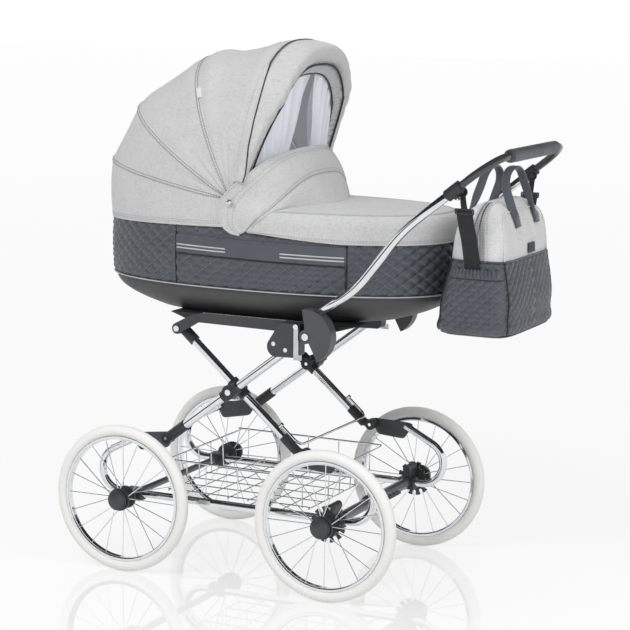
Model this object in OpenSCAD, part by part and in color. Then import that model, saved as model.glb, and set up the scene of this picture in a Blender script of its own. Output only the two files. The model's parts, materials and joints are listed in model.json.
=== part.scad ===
/* [Wheels] */
// Outside diameter of the tyres
wheel_d = 350; // [320:1:370]
// Width and height of the tyre section
tyre_w = 27; // [22:1:30]
// Depth of the steel rim
rim_h = 8; // [6:0.5:12]
// Width of the steel rim
rim_w = 18; // [14:1:20]
// Distance between the front and the rear axle
wheelbase = 526; // [500:1:560]
// Distance between the wheels' middle planes
track = 537; // [532:1:560]
// Spokes in each wheel
spoke_count = 20; // [12:2:28]
// Spoke diameter
spoke_d = 2.4; // [1.6:0.2:3.2]
// Diameter of the hub's spoke flanges
flange_d = 54; // [46:1:60]
// Length of the hub barrel
hub_len = 46; // [40:1:50]
// Diameter of the domed hub cap
cap_d = 47; // [38:1:52]
// Diameter of the notched brake ring on each rear hub
ring_d = 84; // [76:1:92]
// Brake notches in each ring
notch_count = 12; // [8:4:16]
// Axle diameter in the hubs
axle_d = 12; // [10:0.5:14]

/* [Spring rails] */
// Distance of each spring rail inside the wheels' middle planes
rail_in_by = 61.5; // [58:0.5:63]
// Spring rail diameter
rail_d = 18; // [16:1:20]
// Radius of the C-spring's bend
spring_r = 54; // [48:1:58]
// Distance of the C-spring's bend centre outside the axle
spring_out = 37; // [33:1:47]
// Slope of the C-spring's free tip
tip_slope = 27; // [22:1:32]
// Length of the C-spring's free tip
tip_len = 80; // [74:1:82]
// Wall of the steel tubes
tube_wall = 1.5; // [1:0.1:2.5]

/* [Folding cross frame] */
// Diameter of the cross frame's arms
arm_d = 20; // [18:1:22]
// Distance of the front arms outside the spring rails
arm_a_out = 17; // [16:1:19]
// Distance of the rear arms inside the spring rails
arm_b_in = 23; // [22:1:27]
// Distance of the front strap eye ahead of the crossing
eye_x = 165; // [155:1:172]
// Height of the front strap eye
eye_z = 323; // [315:1:330]
// Slope of the front arms
arm_a_slope = 37.4; // [36:0.1:38.5]
// Length of the front arms from the strap eye
arm_a_len = 384; // [370:1:395]
// Slope of the rear arms
arm_b_slope = 41.2; // [40:0.1:42]
// Length of the rear arms above the crossing
arm_b_up = 200; // [192:1:205]
// Distance of the rear strap eye behind the crossing
rear_eye_x = 172; // [166:1:176]
// Height of the rear strap eye
rear_eye_z = 314; // [308:1:318]
// Thickness of the leather straps
strap_t = 8; // [6:0.5:9]
// Height of the leather straps
strap_h = 40; // [34:1:46]
// Diameter of the pivot bolts
bolt_d = 8; // [6:0.5:9]

/* [Handle] */
// Distance of the handle tubes outside the spring rails
handle_out = 29; // [27:1:31]
// Handle tube diameter
handle_d = 19; // [17:0.5:21]
// Slopes of the three stretches of the handle tube
handle_slopes = [32.4, 51.5, 38.5]; // [30:0.1:54]
// Lengths of the three stretches of the handle tube
handle_runs = [126, 182, 163]; // [120:1:190]
// Reach of the sliding bar past the tubes
bar_reach = 102; // [90:1:120]
// Bend radius of the sliding bar
bar_bend = 74; // [60:1:80]
// Diameter of the padded grip
grip_d = 29; // [24:1:34]
// Length of the padded grip
grip_len = 300; // [240:5:310]
// Radius of the fold joint's disc
disc_r = 62; // [56:1:66]

/* [Bassinet] */
// Half length of the bassinet at its belt
basin_a = 430; // [415:1:440]
// Reach of the bassinet's belt outside the spring rails
basin_out = 13; // [7:1:14]
// Distance of the bassinet's middle behind the wheelbase's middle
basin_x = 18; // [10:1:24]
// Squareness of the bassinet's plan
basin_n = 2.3; // [2.1:0.1:2.8]
// Height of the moulded tub
tub_h = 68; // [60:1:80]
// Height of the quilted side wall
wall_h = 152; // [140:1:165]
// Thickness of the tub's shell
tub_t = 4; // [3:0.5:6]
// Thickness of the padded side wall
wall_t = 10; // [8:0.5:14]
// Mattress thickness
mattress_h = 42; // [30:1:60]
// Thickness of the cover cloth with its lining
cloth_t = 4; // [3:0.5:5]

/* [Hood] */
// Distance of the hood pivot ahead of the wheelbase's middle
hood_x = 6; // [0:1:12]
// Height of the hood pivot above the side wall
hood_up = 52; // [46:1:58]
// Reach of the hood outside the bassinet's belt
hood_out = 2; // [0:0.5:3]
// Angles of the four seams, from the back to the rim
seam_angles = [171, 150, 118, 79]; // [76:1:174]
// Reach of the four seams from the pivot
seam_radii = [426, 398, 355, 363]; // [340:1:435]
// Squareness of the arch at the four seams
seam_n = [2.05, 2.1, 2.15, 2.7]; // [2:0.05:3]
// Sag of the cloth between the seams
gore_sags = [8, 10, 24]; // [4:1:26]
// Reach of the padded rim roll along the hood
roll_l = 66; // [56:1:74]
// Thickness of the padded rim roll
roll_t = 46; // [36:1:52]

/* [Bag] */
// Distance of the bag's sides inside the handle tubes
bag_in = 85; // [82:1:96]
// Half depth of the bag at its base
bag_d = 86; // [76:1:90]
// Height of the bag
bag_h = 290; // [260:1:300]
// Drop of the bag's base below its hooks
bag_drop = 326; // [310:1:330]
// Half width of the bag's carrying loops
loop_w = 62; // [56:1:66]
// Width of the webbing straps
web_w = 25; // [20:1:30]

/* [Hidden] */
$fn = 48;

// Planes at the sides, all from the track
rail_y = track / 2 - rail_in_by;
arm_a_y = rail_y + arm_a_out;
arm_b_y = rail_y - arm_b_in;
handle_y = rail_y + handle_out;
basin_b = rail_y + basin_out;
hood_w = basin_b + hood_out;
bag_w = handle_y - bag_in;
spring_x = wheelbase / 2 + spring_out;
wheel_r = wheel_d / 2;
axle_r = axle_d / 2;
bolt_r = bolt_d / 2;
rail_r = rail_d / 2;
arm_r = arm_d / 2;
handle_r = handle_d / 2;
run_fit = 0.05;
seat_gap = 0.3;
sides = [-1, 1];

chrome = "silver";
plastic = "dimgray";
black = "#222226";
slate = "#555a61";
cloth = "#cfcfcf";

// Points along a slope in the side view
function ahead(p, slope, d) = [p[0] + d * cos(slope), p[1] + d * sin(slope)];
function at(p, y) = [p[0], y, p[1]];

// Cross frame points in the side view, as [x, z]
front_eye = [-eye_x, eye_z];
crossing = ahead(front_eye, arm_a_slope, eye_x / cos(arm_a_slope));
arm_a_top = ahead(front_eye, arm_a_slope, arm_a_len);
knuckle = ahead(crossing, 180 - arm_b_slope, arm_b_up);
rear_eye = [rear_eye_x, rear_eye_z];
arm_b_low = 200;
arm_b_end = ahead(crossing, -arm_b_slope, arm_b_low);

// Spring tips
tip_start = [-spring_x + spring_r * cos(90 + tip_slope), wheel_r + spring_r + spring_r * sin(90 + tip_slope)];
tip_end = ahead(tip_start, tip_slope, tip_len);

// Levels
rail_z = knuckle[1] + 19;
rail_h = 23;
ledge_t = 3;
runner_h = 14.4;
tub_z = rail_z + ledge_t + seat_gap + runner_h + seat_gap;
belt_z = tub_z + tub_h;
wall_z = belt_z + wall_h;
pivot = [-hood_x, wall_z + hood_up];

// Handle points in the side view
disc = [arm_a_top[0] + 60, arm_a_top[1] + 41];
handle_0 = [disc[0] + 6, disc[1] + 43];
handle_1 = ahead(handle_0, handle_slopes[0], handle_runs[0]);
handle_2 = ahead(handle_1, handle_slopes[1], handle_runs[1]);
handle_3 = ahead(handle_2, handle_slopes[2], handle_runs[2]);
hook = [handle_3[0] + 2, handle_3[1] - 12];

// A straight rod between two points
module rod(p, q, r) {
  v = q - p;
  translate(p) rotate([0, acos(v[2] / norm(v)), atan2(v[1], v[0])]) cylinder(h = norm(v), r = r);
}

// A pin across the object, between two distances from the middle plane
module pin(p, side, y0, y1, r) {
  translate([p[0], side * y0, p[1]]) rotate([-90 * side, 0, 0]) cylinder(h = y1 - y0, r = r);
}

// A side-view outline, given depth between two distances from the middle plane
module slab(side, y0, y1) {
  translate([0, side > 0 ? y1 : -y0, 0]) rotate([90, 0, 0]) linear_extrude(y1 - y0) children();
}

// Straight stretches lap into the bends, which are a little thicker
lap = 2;
swell = 0.2;

// A bent tube in the side view, through corners given as [x, z], all bends of one radius
module bent(points, y, bend_r, r) {
  n = len(points);
  slope = [for (i = [0:n - 2]) atan2(points[i + 1][1] - points[i][1], points[i + 1][0] - points[i][0])];
  turn = [for (i = [0:n - 1]) i == 0 || i == n - 1 ? 0 : slope[i] - slope[i - 1]];
  trim = [for (t = turn) bend_r * tan(abs(t) / 2)];
  for (i = [0:n - 2]) {
    lap_a = i == 0 ? 0 : lap;
    lap_b = i == n - 2 ? 0 : lap;
    rod(at(ahead(points[i], slope[i], trim[i] - lap_a), y),
        at(ahead(points[i + 1], slope[i], lap_b - trim[i + 1]), y), r);
  }
  for (i = [1:n - 2]) {
    s = sign(turn[i]);
    c = ahead(ahead(points[i], slope[i - 1], -trim[i]), slope[i - 1] + 90 * s, bend_r);
    translate(at(c, y)) rotate([90, 0, 0]) rotate([0, 0, slope[i - 1] - 90 * s])
      rotate_extrude(angle = turn[i]) translate([bend_r, 0]) circle(r + swell);
  }
}

// A U-shaped rod in the local XY plane, its legs starting at x = 0
module u_rod(reach, half_w, bend_r, r) {
  for (s = sides) {
    rod([0, s * half_w, 0], [reach - bend_r + lap, s * half_w, 0], r);
    translate([reach - bend_r, s * (half_w - bend_r), 0]) rotate([0, 0, s > 0 ? 0 : -90])
      rotate_extrude(angle = 90) translate([bend_r, 0]) circle(r + swell);
  }
  rod([reach, bend_r - half_w - lap, 0], [reach, half_w - bend_r + lap, 0], r);
}

// Rounded-oval rings and the solids lofted through them
function power(v, e) = sign(v) * pow(abs(v), e);
function oval(c, a, b, z, n, count) = [
  for (i = [0:count - 1]) let (t = 360 * i / count)
    [c + a * power(cos(t), 2 / n), b * power(sin(t), 2 / n), z]
];

// A closed solid through rings of equally many points
module loft(rings) {
  m = len(rings);
  k = len(rings[0]);
  points = [for (ring = rings) each ring];
  walls = [
    for (j = [0:m - 2]) for (i = [0:k - 1]) let (a = j * k + i, b = j * k + (i + 1) % k)
      each [[a, a + k, b], [b, a + k, b + k]]
  ];
  low = [for (i = [1:k - 2]) [0, i, i + 1]];
  high = [for (i = [1:k - 2]) [(m - 1) * k, (m - 1) * k + i + 1, (m - 1) * k + i]];
  polyhedron(points, concat(walls, low, high));
}

// A closed tube through rings, joined end to end
module hoop(rings) {
  m = len(rings);
  k = len(rings[0]);
  points = [for (ring = rings) each ring];
  walls = [
    for (j = [0:m - 1]) for (i = [0:k - 1])
      let (a = j * k + i, b = j * k + (i + 1) % k, c = ((j + 1) % m) * k + i, d = ((j + 1) % m) * k + (i + 1) % k)
      each [[a, c, b], [b, c, d]]
  ];
  polyhedron(points, walls);
}

// A sheet with two faces, each a grid of rows, joined at its edges
module sheet(outer, inner) {
  m = len(outer);
  k = len(outer[0]);
  half = m * k;
  points = concat([for (row = outer) each row], [for (row = inner) each row]);
  faces = [
    for (j = [0:m - 2]) for (i = [0:k - 2]) let (a = j * k + i)
      each [[a, a + k, a + 1], [a + 1, a + k, a + k + 1],
            [half + a, half + a + 1, half + a + k], [half + a + 1, half + a + k + 1, half + a + k]]
  ];
  rim_a = [for (i = [0:k - 2]) each [[i, i + 1, half + i], [i + 1, half + i + 1, half + i]]];
  top = (m - 1) * k;
  rim_b = [for (i = [0:k - 2]) each [[top + i, half + top + i, top + i + 1],
                                     [top + i + 1, half + top + i, half + top + i + 1]]];
  rim_c = [for (j = [0:m - 2]) let (a = j * k) each [[a, half + a, a + k], [a + k, half + a, half + a + k]]];
  rim_d = [for (j = [0:m - 2]) let (a = j * k + k - 1)
            each [[a, a + k, half + a], [a + k, half + a + k, half + a]]];
  polyhedron(points, concat(faces, rim_a, rim_b, rim_c, rim_d));
}

// Wheels
module place_wheel(x, side) {
  translate([x, side * track / 2, wheel_r]) rotate([-90 * side, 0, 0]) children();
}

rim_r = wheel_r - tyre_w + 1.5;
flange_z = hub_len / 2 - 8;
flange_t = 3;
ring_t = 6;
ring_z = -hub_len / 2;
notch_r = 5.5;
notch_at = ring_d / 2 - notch_r - 2;

module tyre() {
  color("ivory") rotate_extrude($fn = 96) intersection() {
    translate([wheel_r - tyre_w / 2, 0]) circle(d = tyre_w);
    translate([rim_r, -tyre_w]) square([tyre_w, 2 * tyre_w]);
  }
}

module rim() {
  lip = 3;
  color(chrome) rotate_extrude($fn = 96) difference() {
    translate([rim_r - rim_h, -rim_w / 2]) square([rim_h, rim_w]);
    for (s = sides) translate([rim_r - rim_h, s * rim_w / 2]) circle(r = lip);
  }
}

module spokes() {
  lace = 14;
  foot_r = flange_d / 2 - 4;
  color(chrome) for (i = [0:spoke_count - 1]) {
    a = 360 * i / spoke_count;
    s = i % 2 == 0 ? 1 : -1;
    b = a + (i % 4 < 2 ? lace : -lace);
    rod([foot_r * cos(b), foot_r * sin(b), s * flange_z],
        [(rim_r - rim_h + 2.5) * cos(a), (rim_r - rim_h + 2.5) * sin(a), s * 2], spoke_d / 2);
  }
}

// The rear hubs carry the notched ring that the brake pins enter
module hub(braked) {
  barrel_r = axle_r + 5;
  dome_h = 11;
  color(black) difference() {
    union() {
      cylinder(h = hub_len, r = barrel_r, center = true);
      for (s = sides) translate([0, 0, s * flange_z - flange_t / 2]) cylinder(h = flange_t, d = flange_d);
      if (braked) translate([0, 0, ring_z]) cylinder(h = ring_t, d = ring_d);
    }
    cylinder(h = hub_len + 2, r = axle_r + run_fit, center = true);
    if (braked) for (i = [0:notch_count - 1]) rotate([0, 0, 360 * i / notch_count + 90]) {
      translate([notch_at, 0, ring_z - 1]) cylinder(h = ring_t + 2, r = notch_r);
      translate([notch_at, -notch_r, ring_z - 1]) cube([ring_d / 2, 2 * notch_r, ring_t + 2]);
    }
  }
  color(plastic) translate([0, 0, hub_len / 2]) difference() {
    union() {
      cylinder(h = 4, d = cap_d);
      translate([0, 0, 4]) intersection() {
        cylinder(h = dome_h, d = cap_d - 3);
        translate([0, 0, -cap_d * 0.9]) sphere(r = cap_d * 0.9 + dome_h - 4, $fn = 64);
      }
    }
    translate([0, 0, -1]) cylinder(h = 8, r = axle_r + 4);
  }
}

module wheel_part(kind, x, side) {
  place_wheel(x, side) {
    if (kind == "tyre") tyre();
    if (kind == "rim") rim();
    if (kind == "spokes") spokes();
    if (kind == "hub") hub(x > 0);
  }
}

// Axles run through cross bores in the spring rails and end under the hub caps
axle_end = track / 2 + hub_len / 2 + 5;
shoulder_y = track / 2 - hub_len / 2 - seat_gap;
clamp_y = rail_r + 4;

module axle(x) {
  translate([x, 0, wheel_r]) rotate([90, 0, 0]) cylinder(h = 2 * axle_end, r = axle_r, center = true);
  for (s = sides) {
    pin([x, wheel_r], s, rail_y + clamp_y + seat_gap, shoulder_y, axle_r + 3);
    pin([x, wheel_r], s, track / 2 + hub_len / 2 + seat_gap, axle_end, axle_r + 2);
  }
}

module front_axle() {
  color(plastic) {
    axle(-wheelbase / 2);
    translate([-wheelbase / 2, 0, wheel_r]) rotate([90, 0, 0])
      cylinder(h = 2 * (rail_y - clamp_y - seat_gap), r = axle_r + 2, center = true);
  }
}

beam_r = 13;
module rear_axle() {
  color("#666a70") {
    axle(wheelbase / 2);
    translate([wheelbase / 2, 0, wheel_r]) rotate([90, 0, 0])
      cylinder(h = 2 * (rail_y - clamp_y - seat_gap), r = beam_r, center = true);
  }
}

// Spring rails with the rivets that hold the straps to their tips
rivet_in = 10;
module spring_path(side, r) {
  y = side * rail_y;
  rod([-spring_x - lap, y, wheel_r], [spring_x + lap, y, wheel_r], r);
  for (s = sides) mirror([s < 0 ? 0 : 1, 0, 0]) {
    translate([-spring_x, y, wheel_r + spring_r]) rotate([90, 0, 0]) rotate([0, 0, 90 + tip_slope])
      rotate_extrude(angle = 180 - tip_slope) translate([spring_r, 0]) circle(r + swell);
    rod(at(ahead(tip_start, tip_slope, -lap), y), at(tip_end, y), r);
  }
}

module strap_rivet(p, side) {
  pin(p, side, rail_y - rail_r - 2, rail_y + rail_r + 2, 3);
}

module spring_rails() {
  slot_t = strap_t + 0.4;
  rivet = ahead(tip_end, tip_slope, -rivet_in);
  color(chrome) for (side = sides) {
    difference() {
      spring_path(side, rail_r);
      spring_path(side, rail_r - tube_wall);
      for (s = sides) {
        pin([s * wheelbase / 2, wheel_r], side, rail_y - rail_d, rail_y + rail_d, axle_r + run_fit);
        mirror([s < 0 ? 0 : 1, 0, 0]) {
          translate(at(tip_end, side * rail_y)) rotate([0, -tip_slope, 0])
            translate([-2 * rivet_in, -slot_t / 2, -rail_d]) cube([3 * rivet_in, slot_t, 2 * rail_d]);
          pin(rivet, side, rail_y - rail_d, rail_y + rail_d, 3 + run_fit);
        }
      }
    }
    for (s = sides) mirror([s < 0 ? 0 : 1, 0, 0]) strap_rivet(rivet, side);
    pin(front_eye, side, rail_y - strap_t / 2 - 2, arm_a_y + arm_r + 5, bolt_r);
  }
}

// Moulded clamps over the crossings of rails and axles, the rear ones with the brake pins' guides
guide_z = wheel_r + notch_at;
clamp_top = wheel_r + rail_r + 5;
brake_pin_r = notch_r - 1.5;
guide_y = track / 2 - hub_len / 2 - 4;

module rail_clamps() {
  clamp_l = 40;
  guide_w = brake_pin_r + 5;
  color(black) for (side = sides) for (s = sides) difference() {
    union() {
      translate([s * wheelbase / 2, side * rail_y, wheel_r - 2])
        cube([clamp_l, 2 * clamp_y, 2 * (clamp_top - wheel_r)], center = true);
      if (s > 0) translate([wheelbase / 2, 0, 0]) slab(side, rail_y - clamp_y, guide_y) union() {
        translate([0, guide_z]) circle(guide_w);
        translate([-guide_w, clamp_top - 4]) square([2 * guide_w, guide_z - clamp_top + 4]);
      }
    }
    rod([-wheelbase, side * rail_y, wheel_r], [wheelbase, side * rail_y, wheel_r], rail_r + run_fit);
    pin([s * wheelbase / 2, wheel_r], side, rail_y - 2 * clamp_y, rail_y + 2 * clamp_y, axle_r + run_fit);
    if (s > 0) pin([wheelbase / 2, guide_z], side, rail_y - 1, track, brake_pin_r + run_fit);
  }
}

brake_travel = 6;
module brake_pin(side) {
  tip = track / 2 - hub_len / 2 - 1;
  color(chrome) pin([wheelbase / 2, guide_z], side, rail_y + brake_travel, tip, brake_pin_r);
}

module brake_pedal() {
  pedal_w = 64;
  pedal_l = 46;
  color(black) translate([wheelbase / 2, 0, wheel_r]) difference() {
    union() {
      rotate([90, 0, 0]) cylinder(h = pedal_w, r = beam_r + 5, center = true);
      rotate([0, -12, 0]) translate([beam_r, -pedal_w / 2, 4]) cube([pedal_l, pedal_w, 7]);
      for (i = [-1:1]) rotate([0, -12, 0]) translate([beam_r + pedal_l - 6, i * 20 - 3, 9]) cube([6, 6, 5]);
    }
    rotate([90, 0, 0]) cylinder(h = pedal_w + 2, r = beam_r + run_fit, center = true);
  }
}

// Leather straps that sling the frame from the spring tips
module strap(inner, outer, side, hole) {
  drop = strap_h;
  dx = sign(outer[0] - inner[0]);
  color(slate) difference() {
    slab(side, rail_y - strap_t / 2, rail_y + strap_t / 2) {
      polygon([
        [inner[0] - dx * 11, inner[1] + 8], [inner[0] + dx * 10, inner[1] + 12 - drop],
        [outer[0] - dx * 12, outer[1] + 12 - drop], [outer[0] + dx * 11, outer[1] + 9],
        [outer[0], outer[1] + 13], [inner[0], inner[1] + 11]
      ]);
    }
    pin(inner, side, 0, track, hole + run_fit);
    pin(outer, side, 0, track, 3 + run_fit);
  }
}

strap_outer = ahead(tip_end, tip_slope, -rivet_in);
module front_straps() {
  for (side = sides) strap(front_eye, strap_outer, side, bolt_r);
}

module rear_straps() {
  for (side = sides) strap(rear_eye, [-strap_outer[0], strap_outer[1]], side, bolt_r);
}

// Chrome wire basket on the spring rails
wire_r = 1.6;
basket_x = 184;
basket_y = rail_y - rail_r - 14;
basket_h = 76;
module wire_basket() {
  // The wires lie on each other, so each crossing steps by both radii and a small fit
  fit = 0.05;
  side_r = wire_r - 0.2;
  rim_r = wire_r + 0.6;
  floor_z = wheel_r + rail_r + wire_r + seat_gap;
  long_z = floor_z + 2 * wire_r + fit;
  rim_z = floor_z + basket_h;
  end_z = rim_z - 2 * rim_r - fit;
  flare = 10;
  rim_x = basket_x + flare;
  rim_y = basket_y + 8;
  long_count = 6;
  cross_count = 7;
  foot_out = wire_r + side_r + fit;
  head_in = rim_r + side_r + fit;
  color(chrome) {
    for (s = sides) {
      rod([-rim_x - 3, s * rim_y, rim_z], [rim_x + 3, s * rim_y, rim_z], rim_r);
      rod([s * rim_x, -rim_y - 3, end_z], [s * rim_x, rim_y + 3, end_z], rim_r);
      for (i = [-2:2]) {
        x = i * basket_x / 2.2;
        rod([x, s * (basket_y + foot_out), long_z - wire_r], [x, s * (rim_y - head_in), rim_z + 2], side_r);
      }
      for (i = [-1.5:1.5]) {
        y = i * basket_y / 3;
        rod([s * (basket_x + foot_out), y, floor_z - 1], [s * (rim_x - head_in), y, end_z + 2], side_r);
      }
    }
    for (i = [0:long_count]) {
      y = -basket_y + 2 * basket_y * i / long_count;
      rod([-basket_x - 3, y, long_z], [basket_x + 3, y, long_z], wire_r);
    }
    for (i = [0:cross_count]) {
      x = -basket_x + 2 * basket_x * i / cross_count;
      reach = i == 1 || i == cross_count - 1 ? rail_y + 4 : basket_y + 3;
      rod([x, -reach, floor_z], [x, reach, floor_z], wire_r);
    }
  }
}

// Front arms of the cross frame, their eyes, crossing blocks and fold brackets
block_r = arm_r + 5;
block_y = arm_a_y + block_r - 1;
head_t = 4;
plane_mid = (arm_a_y - arm_r + arm_b_y + arm_r) / 2;
module front_arms() {
  start = ahead(front_eye, arm_a_slope, bolt_r + 12);
  color(chrome) for (side = sides) difference() {
    rod(at(start, side * arm_a_y), at(arm_a_top, side * arm_a_y), arm_r);
    rod(at(ahead(start, arm_a_slope, -1), side * arm_a_y),
        at(ahead(arm_a_top, arm_a_slope, 1), side * arm_a_y), arm_r - tube_wall);
    pin(crossing, side, 0, track, bolt_r + run_fit);
  }
}

module front_fittings() {
  eye_r = bolt_r + 9;
  sleeve = 58;
  block = 25;
  color(black) for (side = sides) {
    difference() {
      union() {
        pin(front_eye, side, rail_y + strap_t / 2 + seat_gap, arm_a_y + arm_r, eye_r);
        rod(at(front_eye, side * arm_a_y), at(ahead(front_eye, arm_a_slope, sleeve), side * arm_a_y), arm_r + 2.5);
      }
      pin(front_eye, side, 0, track, bolt_r + run_fit);
      rod(at(ahead(front_eye, arm_a_slope, bolt_r + 12), side * arm_a_y),
          at(ahead(front_eye, arm_a_slope, 2 * sleeve), side * arm_a_y), arm_r + run_fit);
    }
    difference() {
      union() {
        rod(at(ahead(crossing, arm_a_slope, -block), side * arm_a_y),
            at(ahead(crossing, arm_a_slope, block), side * arm_a_y), block_r - 1);
        pin(crossing, side, plane_mid + seat_gap / 2, arm_a_y + arm_r + 3, block_r + 2);
      }
      rod(at(front_eye, side * arm_a_y), at(arm_a_top, side * arm_a_y), arm_r + run_fit);
      pin(crossing, side, 0, track, bolt_r + run_fit);
    }
  }
}

// The fold brackets carry the handle's disc on a tongue, inside the disc
bracket_y0 = arm_a_y - arm_r - 1;
bracket_y1 = arm_a_y + arm_r + 6;
tongue_t = 6;
disc_y0 = bracket_y0 + tongue_t + seat_gap + 0.2;
disc_y1 = handle_y + handle_r + 4;
disc_hub = 16;
bracket_x = disc[0] - disc_hub - 3;
lever_pivot = [bracket_x - 7, disc[1] + 20];

module hinge_brackets() {
  low = arm_a_top[1] - 11;
  high = disc[1] + 25;
  toe = [arm_a_top[0] - 18, arm_a_top[1] + 10];
  color("#4a4e55") for (side = sides) difference() {
    union() {
      slab(side, bracket_y0, bracket_y1) {
        translate(toe) circle(23);
        polygon([[toe[0] - 17, toe[1] + 16], [arm_a_top[0] - 10, high], [bracket_x, high],
                 [bracket_x, low + 8], [bracket_x - 10, low], [toe[0] + 8, low - 1]]);
      }
      slab(side, bracket_y0, bracket_y0 + tongue_t) {
        translate(disc) circle(disc_hub);
        translate([bracket_x - 4, disc[1] - disc_hub]) square([disc[0] - bracket_x + 4, 2 * disc_hub]);
      }
    }
    rod(at(front_eye, side * arm_a_y), at(ahead(arm_a_top, arm_a_slope, run_fit), side * arm_a_y), arm_r + run_fit);
    pin(disc, side, 0, track, bolt_r + run_fit);
    pin(lever_pivot, side, 0, track, 3 + run_fit);
  }
}

module front_bolts() {
  color(chrome) for (side = sides) {
    pin(crossing, side, arm_b_y - arm_r - 6, block_y + head_t, bolt_r);
    pin(crossing, side, block_y + seat_gap, block_y + head_t, bolt_r + 3);
    pin(disc, side, bracket_y0, disc_y1 + 4, bolt_r);
    pin(disc, side, disc_y1 + seat_gap, disc_y1 + 4, bolt_r + 4);
    pin(lever_pivot, side, bracket_y0 + 2, bracket_y1 + lever_t + 3, 3);
    pin(lever_pivot, side, bracket_y1 + lever_t + 2 * seat_gap, bracket_y1 + lever_t + 3, 6);
    for (d = [[-24, 17], [6, 5]])
      pin([arm_a_top[0] + d[0], arm_a_top[1] + d[1]], side, bracket_y1, bracket_y1 + 2, 5);
  }
}

lever_t = 5.5;
module fold_levers() {
  lever_w = 11;
  lever_l = 76;
  y0 = bracket_y1 + seat_gap;
  color("#8a8d92") for (side = sides) difference() {
    slab(side, y0, y0 + lever_t) {
      translate(lever_pivot) circle(d = lever_w);
      translate([lever_pivot[0] - lever_w / 2, lever_pivot[1] - lever_l]) square([lever_w, lever_l]);
      translate([lever_pivot[0] - lever_w / 2, lever_pivot[1] - lever_l]) square([lever_w + 7, 6]);
      translate([lever_pivot[0] + lever_w / 2 + 3, lever_pivot[1] - lever_l]) square([4, 12]);
    }
    pin(lever_pivot, side, 0, track, 3 + run_fit);
  }
}

// Rear arms, their eyes, crossing blocks, knuckles and bolts
module rear_arms() {
  color(chrome) for (side = sides) difference() {
    rod(at(ahead(knuckle, -arm_b_slope, 12), side * arm_b_y), at(arm_b_end, side * arm_b_y), arm_r);
    rod(at(knuckle, side * arm_b_y), at(ahead(arm_b_end, -arm_b_slope, 1), side * arm_b_y), arm_r - tube_wall);
    pin(crossing, side, 0, track, bolt_r + run_fit);
  }
}

module rear_fittings() {
  eye_r = bolt_r + 9;
  eye_y = arm_b_y + arm_r + 1;
  sleeve = 46;
  block = 25;
  plug_r = arm_r + 1.5;
  color(black) for (side = sides) {
    y = side * arm_b_y;
    difference() {
      union() {
        pin(rear_eye, side, arm_b_y - arm_r, eye_y, eye_r);
        rod(at(arm_b_end, y), at(rear_eye, y), plug_r - 2);
        rod(at(ahead(arm_b_end, -arm_b_slope, -sleeve), y), at(ahead(arm_b_end, -arm_b_slope, 4), y), plug_r);
      }
      pin(rear_eye, side, 0, track, bolt_r + run_fit);
      rod(at(crossing, y), at(arm_b_end, y), arm_r + run_fit);
    }
    difference() {
      union() {
        rod(at(ahead(crossing, -arm_b_slope, -block), y), at(ahead(crossing, -arm_b_slope, block), y), block_r - 1);
        pin(crossing, side, arm_b_y - arm_r - 4, plane_mid - seat_gap / 2, block_r);
      }
      rod(at(knuckle, y), at(arm_b_end, y), arm_r + run_fit);
      pin(crossing, side, 0, track, bolt_r + run_fit);
    }
    difference() {
      union() {
        pin(knuckle, side, arm_b_y - arm_r - 2, rail_in - seat_gap, eye_r + 1);
        rod(at(knuckle, y), at(ahead(knuckle, -arm_b_slope, sleeve), y), arm_r + 3);
      }
      rod(at(ahead(knuckle, -arm_b_slope, 12), y), at(crossing, y), arm_r + run_fit);
      pin(knuckle, side, 0, track, bolt_r + run_fit);
    }
  }
}

module rear_bolts() {
  color(chrome) for (side = sides) {
    pin(knuckle, side, arm_b_y - arm_r - 4, rail_out + 4, bolt_r);
    pin(knuckle, side, rail_out + seat_gap, rail_out + 4, bolt_r + 3);
    pin(rear_eye, side, arm_b_y - arm_r - 2, rail_y + strap_t / 2 + 2, bolt_r);
  }
}

// Thin steel bar that ties the rear arms' lower ends together
module stabiliser_bar() {
  bar_r = 3;
  foot_r = 4.5;
  lift = arm_r + 6;
  leg_start = 132;
  reach = 64;
  color(chrome) translate(at(crossing, 0)) rotate([0, arm_b_slope, 0]) translate([leg_start, 0, lift]) {
    u_rod(reach, arm_b_y, 20, bar_r);
    for (s = sides) rod([0, s * arm_b_y, foot_r], [0, s * arm_b_y, arm_r - lift + run_fit], foot_r);
  }
}

// Top rails that carry the bassinet on their inner ledges
rail_in = rail_y - 6;
rail_out = rail_y + 4;
rail_front = knuckle[0] + 54;
rail_back = bracket_x + 3;
ledge_in = rail_in - 15;
module top_rails() {
  boss_r = bolt_r + 9;
  top = rail_z + rail_h;
  color("#505257") for (side = sides) {
    difference() {
      union() {
        slab(side, rail_in, rail_out) {
          translate(knuckle) circle(boss_r);
          polygon([
            [knuckle[0] + 6, knuckle[1] - 11], [rail_front + 2, rail_z], [rail_back - 30, rail_z - 3],
            [rail_back, rail_z], [rail_back, top], [rail_front + 14, top],
            [rail_front - 14, top - 6], [knuckle[0] - 7, knuckle[1] + 11]
          ]);
        }
        slab(side, ledge_in, rail_in + 1) translate([rail_front + 4, rail_z])
          square([rail_back - rail_front - 8, ledge_t]);
      }
      pin(knuckle, side, 0, track, bolt_r + run_fit);
    }
  }
}

// Handle
module handle_discs() {
  color("#4f5154") for (side = sides) difference() {
    slab(side, disc_y0, disc_y1) {
      translate(disc) circle(disc_hub);
      intersection() {
        translate(disc) circle(disc_r);
        polygon([disc, ahead(disc, -62, 2 * disc_r), ahead(disc, 0, 3 * disc_r),
                 ahead(disc, 60, 3 * disc_r), ahead(disc, 99, 2 * disc_r)]);
      }
    }
    rod(at(handle_0, side * handle_y), at(handle_1, side * handle_y), handle_r + run_fit);
    pin(disc, side, 0, track, bolt_r + run_fit);
  }
}

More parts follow.
